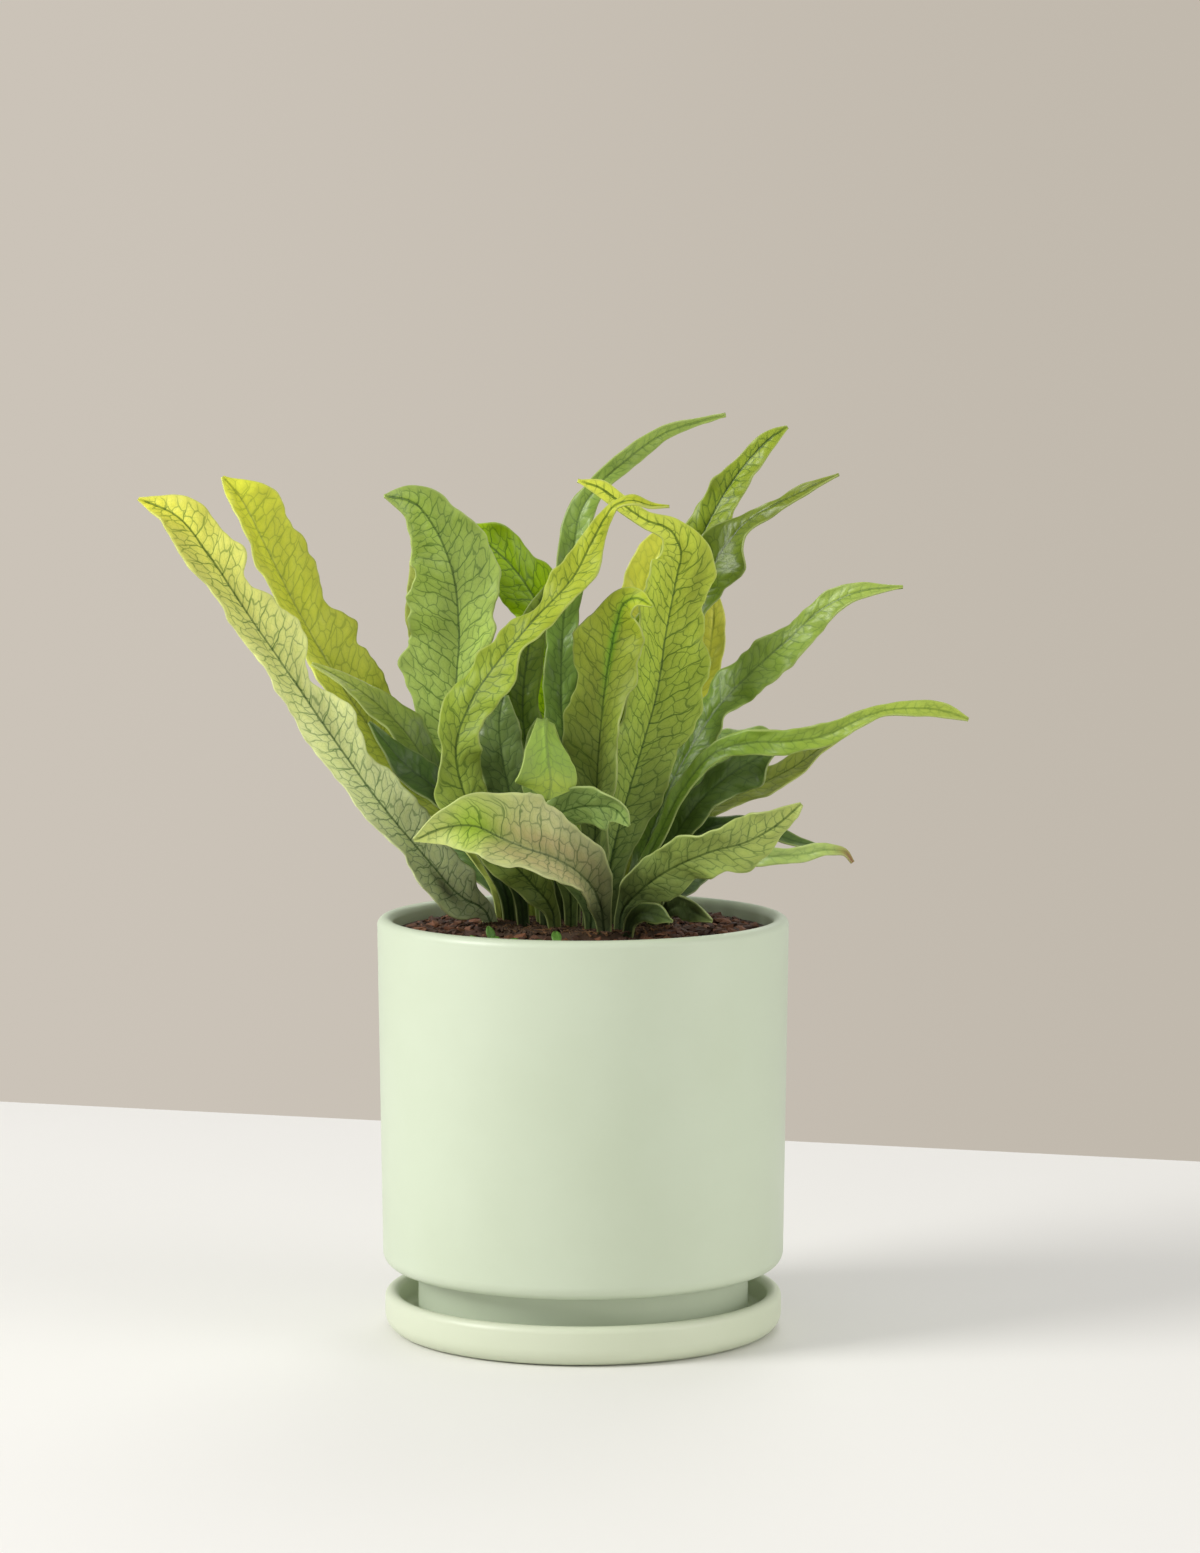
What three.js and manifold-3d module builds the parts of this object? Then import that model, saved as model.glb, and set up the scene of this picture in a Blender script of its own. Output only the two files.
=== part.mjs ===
// A potted crocodile fern: strap-shaped, wavy, net-veined fronds that rise from a knobbly creeping
// rhizome, in a round glazed pot of soil that stands in its saucer. Millimetres, +Z up, the origin
// in the middle of the saucer's flat underside. The front of the plant faces -Y.

import * as THREE from 'three';
import { mergeVertices } from 'three/addons/utils/BufferGeometryUtils.js';
import Module from 'manifold-3d';

const wasm = await Module();
wasm.setup();

// Driving dimensions of the pot and the saucer
const RIM_RADIUS = 85;
const RIM_TOP = 172;
const WALL = 6.5;
const BODY_FOOT_RADIUS = 83.1;
const BODY_BOTTOM = 27;
const CORNER = 6;
const FOOT_RADIUS = 68.5;
const FOOT_WALL = 8;
const POT_FLOOR = 8;
const DRAIN_RADIUS = 6;
const SAUCER_RADIUS = 82.3;
const SAUCER_HEIGHT = 16.5;
const SAUCER_WALL = 6;
const SAUCER_FLOOR = 5;
const SAUCER_BASE_RADIUS = 75;
const GAP = 0.3;
const AROUND = 40;

// The soil and the rhizome
const SOIL_TOP = 165.5;
const SOIL_BUMP = 0.9;
const RHIZOME_TOP = 168.6;
const RHIZOME_BOTTOM = 158;
const RHIZOME_RADIUS = 42;
const RHIZOME_PLACE = new THREE.Vector2(-2, 4);
const RHIZOME_AROUND = 24;
const KNOB = 0.8;
const ROOT_LEVEL = 162;
const ROOT_WIDTH = 5;

// Frond blades: thickness, ribs and the grid that follows the side veins
const BLADE = 0.9;
const MIDRIB = 0.8;
const ROW_STEP = 10;
const WIDE_BLADE = 15;
const SIDE_VEIN_LEAN = 0.55;
const QUILT = 0.6;
const STEPS_PER_KNOT = 14;
const TIP_WIDTH = 1.2;

const POT_GREEN = 0xd2e3c6;
const SAUCER_GREEN = 0xd9e6c8;
const SOIL_BROWN = 0x4a2c1e;
const RHIZOME_BROWN = 0x3b2a1a;

const group = new THREE.Group();

function addMesh(name, geometry, color, roughness) {
  geometry.computeVertexNormals();
  const material = new THREE.MeshStandardMaterial({ color, roughness, metalness: 0 });
  const mesh = new THREE.Mesh(geometry, material);
  mesh.name = name;
  group.add(mesh);
}

// Closed geometries to solids and back
function toSolid(geometry) {
  const bare = geometry.clone();
  bare.deleteAttribute('normal');
  bare.deleteAttribute('uv');
  const merged = mergeVertices(bare, 1e-4);
  const vertProperties = new Float32Array(merged.attributes.position.array);
  const triVerts = new Uint32Array(merged.index.array);
  return new wasm.Manifold(new wasm.Mesh({ numProp: 3, vertProperties, triVerts }));
}

function toGeometry(solid) {
  const mesh = solid.getMesh();
  const geometry = new THREE.BufferGeometry();
  geometry.setAttribute('position', new THREE.BufferAttribute(mesh.vertProperties, 3));
  geometry.setIndex(new THREE.BufferAttribute(mesh.triVerts, 1));
  return geometry;
}

// A quarter circle between two directions, for rounded corners of a turned profile
function arc(radius, height, size, fromDegrees, toDegrees, steps) {
  const points = [];
  for (let i = 0; i <= steps; i++) {
    const angle = THREE.MathUtils.degToRad(fromDegrees + (toDegrees - fromDegrees) * i / steps);
    points.push(new THREE.Vector2(radius + size * Math.cos(angle), height + size * Math.sin(angle)));
  }
  return points;
}

// Turns a profile given as radius and height; LatheGeometry turns about Y, so it is stood up on Z
function turned(profile, around = AROUND) {
  const geometry = new THREE.LatheGeometry(profile, around);
  geometry.rotateX(Math.PI / 2);
  return geometry;
}

const point = (radius, height) => new THREE.Vector2(radius, height);

// The pot: a straight body with a soft lip, a recessed foot and a drain hole
const FOOT_BOTTOM = SAUCER_FLOOR + GAP;
const INNER_RIM_RADIUS = RIM_RADIUS - WALL;
const INNER_LOW_RADIUS = BODY_FOOT_RADIUS - WALL;
const INNER_FLOOR = FOOT_BOTTOM + POT_FLOOR;
const SHOULDER = BODY_BOTTOM + WALL;
const FOOT_INNER_RADIUS = FOOT_RADIUS - FOOT_WALL;

function potProfile() {
  const lip = WALL / 2;
  return [
    point(DRAIN_RADIUS, FOOT_BOTTOM),
    point(FOOT_RADIUS - 1.5, FOOT_BOTTOM),
    point(FOOT_RADIUS, FOOT_BOTTOM + 1.5),
    point(FOOT_RADIUS, BODY_BOTTOM - 2),
    point(FOOT_RADIUS + 2, BODY_BOTTOM),
    ...arc(BODY_FOOT_RADIUS - CORNER, BODY_BOTTOM + CORNER, CORNER, -90, 0, 3),
    ...arc(RIM_RADIUS - lip, RIM_TOP - lip, lip, 0, 180, 5),
    point(INNER_LOW_RADIUS, SHOULDER + CORNER),
    point(INNER_LOW_RADIUS - CORNER, SHOULDER),
    point(FOOT_INNER_RADIUS, SHOULDER),
    point(FOOT_INNER_RADIUS, INNER_FLOOR),
    point(DRAIN_RADIUS, INNER_FLOOR),
    point(DRAIN_RADIUS, FOOT_BOTTOM),
  ];
}

// The saucer: a low tray with a rounded edge and a flat underside
function saucerProfile() {
  const lip = SAUCER_WALL / 2;
  const edge = SAUCER_RADIUS - SAUCER_BASE_RADIUS;
  const inner = SAUCER_RADIUS - SAUCER_WALL;
  return [
    point(0, 0),
    ...arc(SAUCER_BASE_RADIUS, edge, edge, -90, 0, 3),
    ...arc(SAUCER_RADIUS - lip, SAUCER_HEIGHT - lip, lip, 0, 180, 5),
    point(inner, SAUCER_FLOOR + 3),
    point(inner - 3, SAUCER_FLOOR),
    point(0, SAUCER_FLOOR),
  ];
}

// The fronds, each as root place, look and spine; a spine knot is x, y, z, roll in degrees, width.
// A bay is a cut in one margin: its side, its place along the spine, its length, and its depth as a
// share of the half blade. A bay of negative depth is a lobe.
const PALE = 0xa3b95e;
const MID = 0x6f9a3f;
const DEEP = 0x48762f;
const DARK = 0x35562c;
const YELLOW = 0xb9c838;
const WAVY = { lobe: 0.13, ruffle: 3.2, fold: 8 };
const CALM = { lobe: 0.08, ruffle: 1.6, fold: 10 };
const NARROW = { lobe: 0.12, ruffle: 1.0, fold: 12 };
const FOLDED = { lobe: 0.12, ruffle: 2.4, fold: 22 };
const CLOSED = { lobe: 0.1, ruffle: 2.4, fold: 30 };
const CREASED = { lobe: 0.1, ruffle: 2.4, fold: 48 };

const FRONDS = [
  { name: 'frond_far_left', root: [-37, 3], color: PALE, look: CLOSED, bays: [
    [1, 190, 26, 0.45], [1, 142, 36, 0.5], [1, 120, 20, -0.15], [1, 102, 22, 0.35], [-1, 206, 24, -0.2],
    [-1, 36, 56, -0.35]], knots: [
    [-40, 1, 173, -20, 7], [-51, -5, 181, -30, 16], [-64, -15, 197, -38, 20], [-83, -28, 222, -34, 21],
    [-102, -35, 250, -20, 20], [-120, -39, 277, -38, 24], [-136, -42, 301, -38, 23], [-149, -42, 321, -30, 21],
    [-163, -38, 338, -25, 16], [-179, -32, 345, -25, 1.2]] },
  { name: 'frond_left_yellow', root: [-33, 17], color: YELLOW, look: CLOSED, bays: [
    [1, 165, 24, 0.15], [1, 147, 20, -0.12], [-1, 150, 26, 0.25]], knots: [
    [-35, 18, 179, -10, 6], [-50, 22, 203, -25, 9], [-73, 24, 227, -32, 18], [-89, 22, 248, -36, 26],
    [-106, 17, 275, -38, 29], [-120, 12, 301, -38, 25], [-131, 8, 324, -38, 27], [-141, 5, 344, -36, 18],
    [-148, 5, 353, -35, 1.2]] },
  { name: 'frond_left_folded', root: [-30, 9], color: MID, look: CALM, knots: [
    [-32, 5, 180, -20, 6], [-43, -1, 204, -40, 11], [-59, -6, 228, -50, 18], [-77, -7, 253, -55, 17],
    [-95, -8, 268, -60, 10], [-111, -9, 277, -70, 1.2]] },
  { name: 'frond_left_dark', root: [-24, -6], color: DARK, look: CALM, knots: [
    [-26, -8, 181, -20, 6], [-37, -12, 203, -40, 11], [-56, -18, 223, -50, 16], [-74, -21, 238, -50, 14],
    [-87, -22, 254, -55, 1.2]] },
  { name: 'frond_left_point', root: [-27, 15], color: DARK, look: NARROW, knots: [
    [-29, 15, 183, 0, 6], [-41, 16, 208, -10, 10], [-55, 16, 231, -10, 13], [-61, 14, 246, 0, 10],
    [-66, 12, 262, 5, 1.2]] },
  { name: 'frond_tall_left', root: [-16, 1], color: DEEP, look: FOLDED, bays: [
    [1, 195, 40, 0.2], [1, 126, 56, 0.3], [-1, 122, 44, -0.12], [-1, 84, 44, 0.3]], knots: [
    [-18, 3, 179, 0, 6], [-28, 7, 199, 0, 14], [-43, 10, 228, 10, 28], [-52, 10, 259, 18, 35],
    [-51, 6, 290, 18, 38], [-54, -1, 316, -5, 35], [-61, -8, 333, -20, 28], [-69, -17, 343, -35, 18],
    [-80, -26, 346, -60, 1.2]] },
  { name: 'frond_yellow_left', root: [-19, 22], color: YELLOW, look: CALM, knots: [
    [-23, 24, 182, 0, 6], [-42, 34, 225, 0, 14], [-58, 36, 263, 0, 17], [-65, 32, 297, 0, 18],
    [-66, 28, 318, 0, 12], [-68, 24, 331, 0, 1.2]] },
  { name: 'frond_behind_left', root: [-11, 16], color: MID, look: WAVY, knots: [
    [-11, 18, 180, 0, 6], [-11, 32, 225, 0, 18], [-11, 40, 263, 0, 24], [-16, 40, 291, -15, 26],
    [-27, 36, 311, -30, 25], [-40, 32, 324, -35, 18], [-55, 28, 332, -40, 1.2]] },
  { name: 'frond_front_curl', root: [-11, -17], color: PALE, look: WAVY, bays: [
    [-1, 164, 22, 0.45], [-1, 143, 20, 0.25], [-1, 97, 28, 0.35], [-1, 78, 22, -0.15],
    [1, 188, 22, -0.3], [1, 133, 34, -0.3]], knots: [
    [-13, -18, 177, -20, 7], [-20, -24, 187, -30, 14], [-34, -32, 203, -25, 17], [-47, -38, 224, -10, 19],
    [-51, -40, 246, 0, 19], [-44, -40, 265, 20, 19], [-32, -40, 282, 30, 17], [-17, -38, 299, 35, 15],
    [-4, -34, 313, 25, 14], [4, -30, 328, 10, 10.5], [9, -28, 337, 10, 6], [13, -28, 342, 40, 4.5],
    [20, -30, 344, 65, 6], [28, -30, 342, 70, 4], [35, -30, 342, 70, 1.2]] },
  { name: 'frond_tall_twist', root: [-4, 0], color: DEEP, look: CALM, knots: [
    [-4, -1, 181, 0, 6], [-6, -2, 220, 0, 13], [-9, 0, 261, 0, 14], [-8, 2, 294, 0, 13],
    [-4, 5, 323, 0, 12], [-1, 6, 338, 20, 12], [6, 6, 349, 10, 8], [18, 8, 360, -20, 8.5],
    [32, 12, 370, -30, 7], [46, 16, 375, -25, 3.5], [59, 20, 378, -20, 1.2]] },
  { name: 'frond_centre', root: [2, -10], color: PALE, look: FOLDED, bays: [
    [-1, 112, 22, 0.2], [-1, 128, 20, -0.1], [1, 105, 24, 0.2]], knots: [
    [3, -12, 179, 20, 6], [5, -18, 203, 30, 15], [6, -22, 230, 38, 24], [8, -25, 257, 34, 27],
    [11, -27, 281, 12, 28], [14, -28, 295, 10, 22], [17, -31, 303, 25, 13], [22, -35, 305, 60, 8],
    [28, -39, 302, 90, 1.2]] },
  { name: 'frond_big_centre', root: [11, -4], color: PALE, look: FOLDED, bays: [
    [1, 148, 44, 0.25], [1, 106, 24, -0.12], [1, 84, 24, 0.12]], knots: [
    [11, -5, 176, 0, 6], [11, -8, 192, -10, 12], [16, -9, 215, -20, 22], [23, -8, 239, -24, 30],
    [30, -6, 264, -24, 34], [34, -4, 290, -24, 33], [38, -2, 311, -22, 32], [40, -3, 322, -15, 25],
    [36, -7, 331, -30, 12], [25, -12, 336, -40, 7], [15, -16, 343, -35, 7], [7, -18, 349, -25, 6.5],
    [-2, -20, 352, -20, 1.2]] },
  { name: 'frond_upper_right', root: [2, 13], color: MID, look: FOLDED, bays: [
    [-1, 202, 76, 0.4], [1, 180, 24, -0.15]], knots: [
    [3, 15, 181, 0, 6], [11, 24, 226, 10, 16], [24, 30, 267, 20, 21], [37, 34, 301, 22, 21],
    [49, 34, 326, 22, 21], [59, 34, 345, 22, 18], [70, 32, 360, 20, 13], [79, 30, 369, 15, 7],
    [85, 30, 373, 0, 1.2]] },
  { name: 'frond_right_top', root: [10, 6], color: DEEP, look: WAVY, bays: [
    [-1, 192, 44, 0.4], [1, 168, 30, -0.35]], knots: [
    [12, 9, 182, 0, 6], [22, 16, 219, 5, 12], [33, 19, 260, 10, 15], [41, 19, 291, 15, 15],
    [51, 18, 311, 25, 20], [59, 16, 324, 35, 20], [69, 14, 335, 45, 12], [81, 10, 342, 50, 8],
    [91, 8, 347, 55, 6], [105, 4, 354, 60, 1.2]] },
  { name: 'frond_yellow_back', root: [9, 25], color: YELLOW, look: CALM, knots: [
    [9, 28, 184, 0, 6], [12, 44, 224, 0, 14], [16, 56, 257, 0, 16], [23, 64, 291, 0, 18],
    [27, 66, 310, 0, 18], [33, 66, 322, 5, 14], [40, 64, 332, 5, 1.2]] },
  { name: 'frond_yellow_right', root: [17, 20], color: YELLOW, look: NARROW, knots: [
    [19, 22, 182, 0, 6], [30, 34, 217, 0, 11], [44, 44, 249, 0, 12], [51, 48, 266, 0, 12],
    [54, 48, 283, 0, 11], [55, 46, 296, 0, 8], [54, 44, 307, 0, 1.2]] },
  { name: 'frond_right_broad', root: [19, 0], color: DEEP, look: WAVY, bays: [
    [-1, 150, 66, 0.4], [1, 143, 30, -0.35], [1, 112, 24, 0.2]], knots: [
    [20, 1, 180, 10, 6], [28, 5, 205, 25, 12], [42, 8, 236, 35, 17], [54, 8, 255, 40, 20],
    [69, 4, 272, 35, 20], [85, -3, 287, 32, 18], [99, -9, 300, 35, 13], [114, -15, 307, 40, 7],
    [130, -20, 309, 50, 1.2]] },
  { name: 'frond_right_long', root: [19, -12], color: MID, look: NARROW, knots: [
    [21, -12, 183, 30, 5], [31, -13, 206, 35, 6], [43, -16, 229, 35, 7], [55, -21, 242, 30, 8],
    [69, -26, 246, 20, 10], [84, -31, 247, 15, 10], [99, -35, 250, 20, 9], [111, -38, 256, 35, 6.5],
    [122, -40, 260, 45, 5.5], [134, -42, 261, 50, 7], [146, -44, 260, 45, 6], [155, -46, 257, 40, 1.2]] },
  { name: 'frond_right_olive', root: [20, 12], color: YELLOW, look: NARROW, bays: [
    [1, 92, 26, -0.3], [1, 66, 24, 0.2]], knots: [
    [23, 14, 181, 20, 6], [35, 22, 199, 35, 11], [52, 28, 213, 40, 14], [71, 30, 222, 35, 15],
    [87, 30, 230, 35, 13], [100, 28, 239, 45, 8], [110, 26, 245, 55, 1.2]] },
  { name: 'frond_right_dark', root: [27, 2], color: DARK, look: WAVY, bays: [
    [-1, 80, 50, 0.3], [1, 90, 26, -0.3]], knots: [
    [29, 0, 181, 20, 6], [36, -4, 201, 30, 10], [48, -7, 220, 30, 15], [60, -9, 231, 25, 17],
    [73, -12, 239, 30, 13], [81, -16, 243, 60, 1.2]] },
  { name: 'frond_low_right', root: [15, -21], color: PALE, look: WAVY, bays: [
    [1, 103, 28, 0.4], [1, 73, 22, 0.2]], knots: [
    [16, -24, 176, 10, 6], [23, -33, 186, 15, 15], [36, -46, 197, 15, 21], [52, -56, 205, 10, 22],
    [67, -62, 210, 10, 22], [78, -65, 217, 15, 15], [87, -68, 225, 30, 1.2]] },
  { name: 'frond_narrow_dark', root: [31, 10], color: DARK, look: NARROW, knots: [
    [33, 10, 183, 40, 5], [39, 9, 197, 50, 7], [50, 7, 207, 50, 8], [63, 4, 210, 50, 8],
    [76, 0, 207, 50, 7], [88, -4, 203, 55, 5], [100, -8, 201, 60, 1.2]] },
  { name: 'frond_small_bright', root: [28, -7], color: MID, look: NARROW, knots: [
    [31, -11, 180, 40, 5], [44, -22, 193, 50, 6], [62, -34, 199, 50, 7], [76, -40, 201, 45, 7],
    [88, -42, 202, 45, 6], [99, -44, 204, 50, 5], [106, -44, 203, 55, 2.5], [109, -44, 199, 55, 1.2]] },
  { name: 'frond_front_fold', root: [9, -28], color: PALE, look: CREASED, knots: [
    [8, -31, 175, -10, 7], [5, -37, 186, -30, 13], [-2, -46, 195, -50, 18], [-12, -54, 202, -58, 24],
    [-22, -60, 206, -60, 28], [-33, -64, 211, -58, 31], [-43, -67, 216, -52, 26], [-54, -70, 216, -42, 16],
    [-67, -72, 211, -30, 1.2]] },
  { name: 'frond_front_wave', root: [3, -20], color: MID, look: WAVY, knots: [
    [3, -22, 177, 0, 6], [-2, -26, 188, 0, 10], [-10, -31, 199, 0, 14], [-14, -35, 209, 0, 15],
    [-11, -38, 217, 0, 16], [-3, -41, 221, 0, 19], [6, -43, 222, 0, 20], [13, -45, 221, 0, 16],
    [19, -46, 214, 0, 1.2]] },
  { name: 'frond_folded_tip', root: [-5, -9], color: MID, look: CALM, knots: [
    [-5, -13, 179, 0, 6], [-7, -20, 197, 0, 14], [-11, -25, 217, 0, 19], [-15, -29, 235, 0, 20],
    [-16, -32, 249, 0, 13], [-15, -38, 256, 10, 7], [-15, -46, 250, 15, 12], [-14, -50, 241, 15, 22],
    [-13, -51, 232, 15, 26], [-14, -51, 225, 15, 1.2]] },
  { name: 'frond_grey_mid', root: [-15, -8], color: DEEP, look: WAVY, knots: [
    [-16, -9, 180, 0, 6], [-22, -12, 200, 0, 12], [-29, -16, 221, 0, 18], [-33, -18, 240, 5, 20],
    [-34, -19, 254, 15, 17], [-32, -19, 265, 25, 4]] },
  { name: 'frond_dark_mid', root: [-9, 8], color: DARK, look: NARROW, knots: [
    [-9, 9, 182, 0, 6], [-18, 12, 219, 0, 12], [-25, 14, 254, 0, 14], [-23, 14, 279, 5, 13],
    [-19, 12, 297, 10, 9], [-15, 10, 308, 15, 1.2]] },
  { name: 'frond_olive_back', root: [-4, 27], color: MID, look: NARROW, knots: [
    [-6, 30, 182, 0, 6], [-13, 44, 220, 0, 12], [-17, 52, 249, 0, 14], [-16, 54, 270, 0, 13],
    [-13, 54, 285, 0, 2]] },
  { name: 'frond_soil_right', root: [33, -5], color: DEEP, look: NARROW, knots: [
    [34, -8, 173, 30, 5], [38, -16, 178, 50, 9], [44, -28, 178, 60, 10], [52, -42, 175, 70, 1.2]] },
  { name: 'frond_soil_small', root: [18, -27], color: MID, look: NARROW, knots: [
    [20, -32, 174, 30, 5], [24, -38, 178, 50, 8], [30, -45, 178, 60, 8], [36, -52, 176, 70, 1.2]] },
  { name: 'frond_rear_left', root: [-17, 33], color: DEEP, look: WAVY, knots: [
    [-19, 37, 180, 0, 6], [-26, 48, 200, 0, 15], [-37, 64, 224, 0, 23], [-50, 84, 242, 0, 23],
    [-62, 104, 250, 0, 16], [-72, 120, 248, 0, 1.2]] },
  { name: 'frond_rear_mid', root: [1, 37], color: MID, look: WAVY, knots: [
    [1, 41, 180, 0, 6], [1, 53, 204, 0, 16], [4, 73, 230, 0, 24], [10, 98, 246, 0, 23],
    [16, 122, 244, 0, 15], [20, 138, 234, 0, 1.2]] },
  { name: 'frond_rear_right', root: [18, 32], color: DEEP, look: WAVY, knots: [
    [20, 35, 178, 0, 6], [30, 46, 196, 0, 15], [45, 64, 219, 0, 22], [62, 84, 233, 0, 21],
    [80, 102, 235, 0, 14], [94, 114, 227, 0, 1.2]] },
  { name: 'frond_rear_low_left', root: [-30, 27], color: DARK, look: WAVY, knots: [
    [-33, 30, 175, 0, 6], [-46, 42, 190, 0, 14], [-60, 59, 205, 0, 19], [-74, 76, 212, 0, 13],
    [-84, 90, 208, 0, 1.2]] },
  { name: 'frond_rear_low_right', root: [30, 22], color: DARK, look: WAVY, knots: [
    [33, 24, 173, 0, 6], [43, 34, 183, 0, 13], [55, 52, 192, 0, 17], [67, 70, 194, 0, 12],
    [76, 84, 189, 0, 1.2]] },
];

// Smooth curves through knots that stand unevenly apart: each channel of a knot goes through a
// Hermite curve whose slope at a knot is weighed by the chords on either side
function slopeAt(knots, chords, i, channel) {
  const last = knots.length - 1;
  const rate = k => (knots[k + 1][channel] - knots[k][channel]) / chords[k];
  if (i === 0) return rate(0);
  if (i === last) return rate(last - 1);
  return (rate(i - 1) * chords[i] + rate(i) * chords[i - 1]) / (chords[i - 1] + chords[i]);
}

function smoothKnots(knots) {
  const chords = [];
  for (let i = 0; i + 1 < knots.length; i++) {
    const [a, b] = [knots[i], knots[i + 1]];
    chords.push(Math.hypot(b[0] - a[0], b[1] - a[1], b[2] - a[2]));
  }
  const rows = [];
  for (let i = 0; i + 1 < knots.length; i++) {
    const start = i === 0 ? 0 : 1;
    for (let k = start; k <= STEPS_PER_KNOT; k++) {
      const t = k / STEPS_PER_KNOT;
      rows.push(knots[i].map((value, channel) => {
        const out = slopeAt(knots, chords, i, channel) * chords[i];
        const into = slopeAt(knots, chords, i + 1, channel) * chords[i];
        return value * (2 * t ** 3 - 3 * t ** 2 + 1) + out * (t ** 3 - 2 * t ** 2 + t)
          + knots[i + 1][channel] * (3 * t ** 2 - 2 * t ** 3) + into * (t ** 3 - t ** 2);
      }));
    }
  }
  return rows;
}

// The spine of a frond: places, lengths and a frame that is carried along without turning about it
function makeSpine(frond) {
  const first = frond.knots[0];
  const root = [frond.root[0], frond.root[1], ROOT_LEVEL, first[3], ROOT_WIDTH];
  const rows = smoothKnots([root, ...frond.knots]);
  const places = rows.map(row => new THREE.Vector3(row[0], row[1], row[2]));
  const lengths = [0];
  for (let i = 1; i < places.length; i++) {
    lengths.push(lengths[i - 1] + places[i].distanceTo(places[i - 1]));
  }
  const frames = [];
  const facing = new THREE.Vector3(0, -1, 0);
  for (let i = 0; i < places.length; i++) {
    const ahead = places[Math.min(i + 1, places.length - 1)];
    const behind = places[Math.max(i - 1, 0)];
    const along = ahead.clone().sub(behind).normalize();
    facing.addScaledVector(along, -facing.dot(along)).normalize();
    const sideways = along.clone().cross(facing);
    const roll = THREE.MathUtils.degToRad(rows[i][3]);
    const across = sideways.clone().multiplyScalar(Math.cos(roll)).addScaledVector(facing, Math.sin(roll));
    const normal = facing.clone().multiplyScalar(Math.cos(roll)).addScaledVector(sideways, -Math.sin(roll));
    frames.push({ across, normal });
  }
  const widths = rows.map(row => Math.max(row[4], TIP_WIDTH));
  return { places, lengths, frames, widths, length: lengths.at(-1), widest: Math.max(...widths) };
}

function spineAt(spine, distance) {
  const s = THREE.MathUtils.clamp(distance, 0, spine.length);
  let i = 0;
  while (i + 2 < spine.lengths.length && spine.lengths[i + 1] < s) i++;
  const t = (s - spine.lengths[i]) / (spine.lengths[i + 1] - spine.lengths[i]);
  const blend = (a, b) => a.clone().lerp(b, t);
  return {
    s,
    place: blend(spine.places[i], spine.places[i + 1]),
    across: blend(spine.frames[i].across, spine.frames[i + 1].across).normalize(),
    normal: blend(spine.frames[i].normal, spine.frames[i + 1].normal).normalize(),
    width: THREE.MathUtils.lerp(spine.widths[i], spine.widths[i + 1], t),
  };
}

// Uneven waves for margins and ruffles
const LOBE_LENGTH = 33;
const RUFFLE_LENGTH = 41;
const wave = x => 0.65 * Math.sin(x) + 0.35 * Math.sin(1.73 * x + 1.3);
const hump = x => (Math.abs(x) < 0.5 ? Math.cos(Math.PI * x) ** 2 : 0);

// How far the bays of one margin cut into the blade at a distance along its spine
function bayDepth(frond, side, distance) {
  const cuts = (frond.bays ?? []).filter(([edge]) => edge === side);
  return cuts.reduce((sum, [, place, length, depth]) => sum + depth * hump((distance - place) / length), 0);
}

// A point of the blade's middle surface: distance along the spine, and u from -1 to 1 across it
function bladePoint(spine, frond, phase, distance, u) {
  const look = frond.look;
  const here = spineAt(spine, distance);
  const tipFade = Math.min(1, (spine.length - distance) / (0.2 * spine.length));
  const at = spineAt(spine, distance + SIDE_VEIN_LEAN * Math.abs(u) * here.width / 2 * tipFade);
  const fullness = at.width / spine.widest;
  const side = Math.sign(u);
  const lobed = 1 + look.lobe * wave(2 * Math.PI * at.s / LOBE_LENGTH + phase + 1.9 * side);
  const half = at.width / 2 * (1 + (lobed - 1) * fullness - bayDepth(frond, side, at.s));
  const offset = u * half;
  const ruffle = look.ruffle * fullness * u * u * wave(2 * Math.PI * at.s / RUFFLE_LENGTH + phase * 1.7 + 2.6 * side);
  const opening = THREE.MathUtils.degToRad(look.fold) * Math.min(1, 1.6 * fullness);
  const fold = Math.abs(offset) * Math.tan(opening);
  const quilt = QUILT * fullness * 4 * Math.abs(u) * (1 - Math.abs(u)) * Math.cos(Math.PI * distance / ROW_STEP);
  return at.place.addScaledVector(at.across, offset).addScaledVector(at.normal, fold + ruffle + quilt);
}

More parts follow.
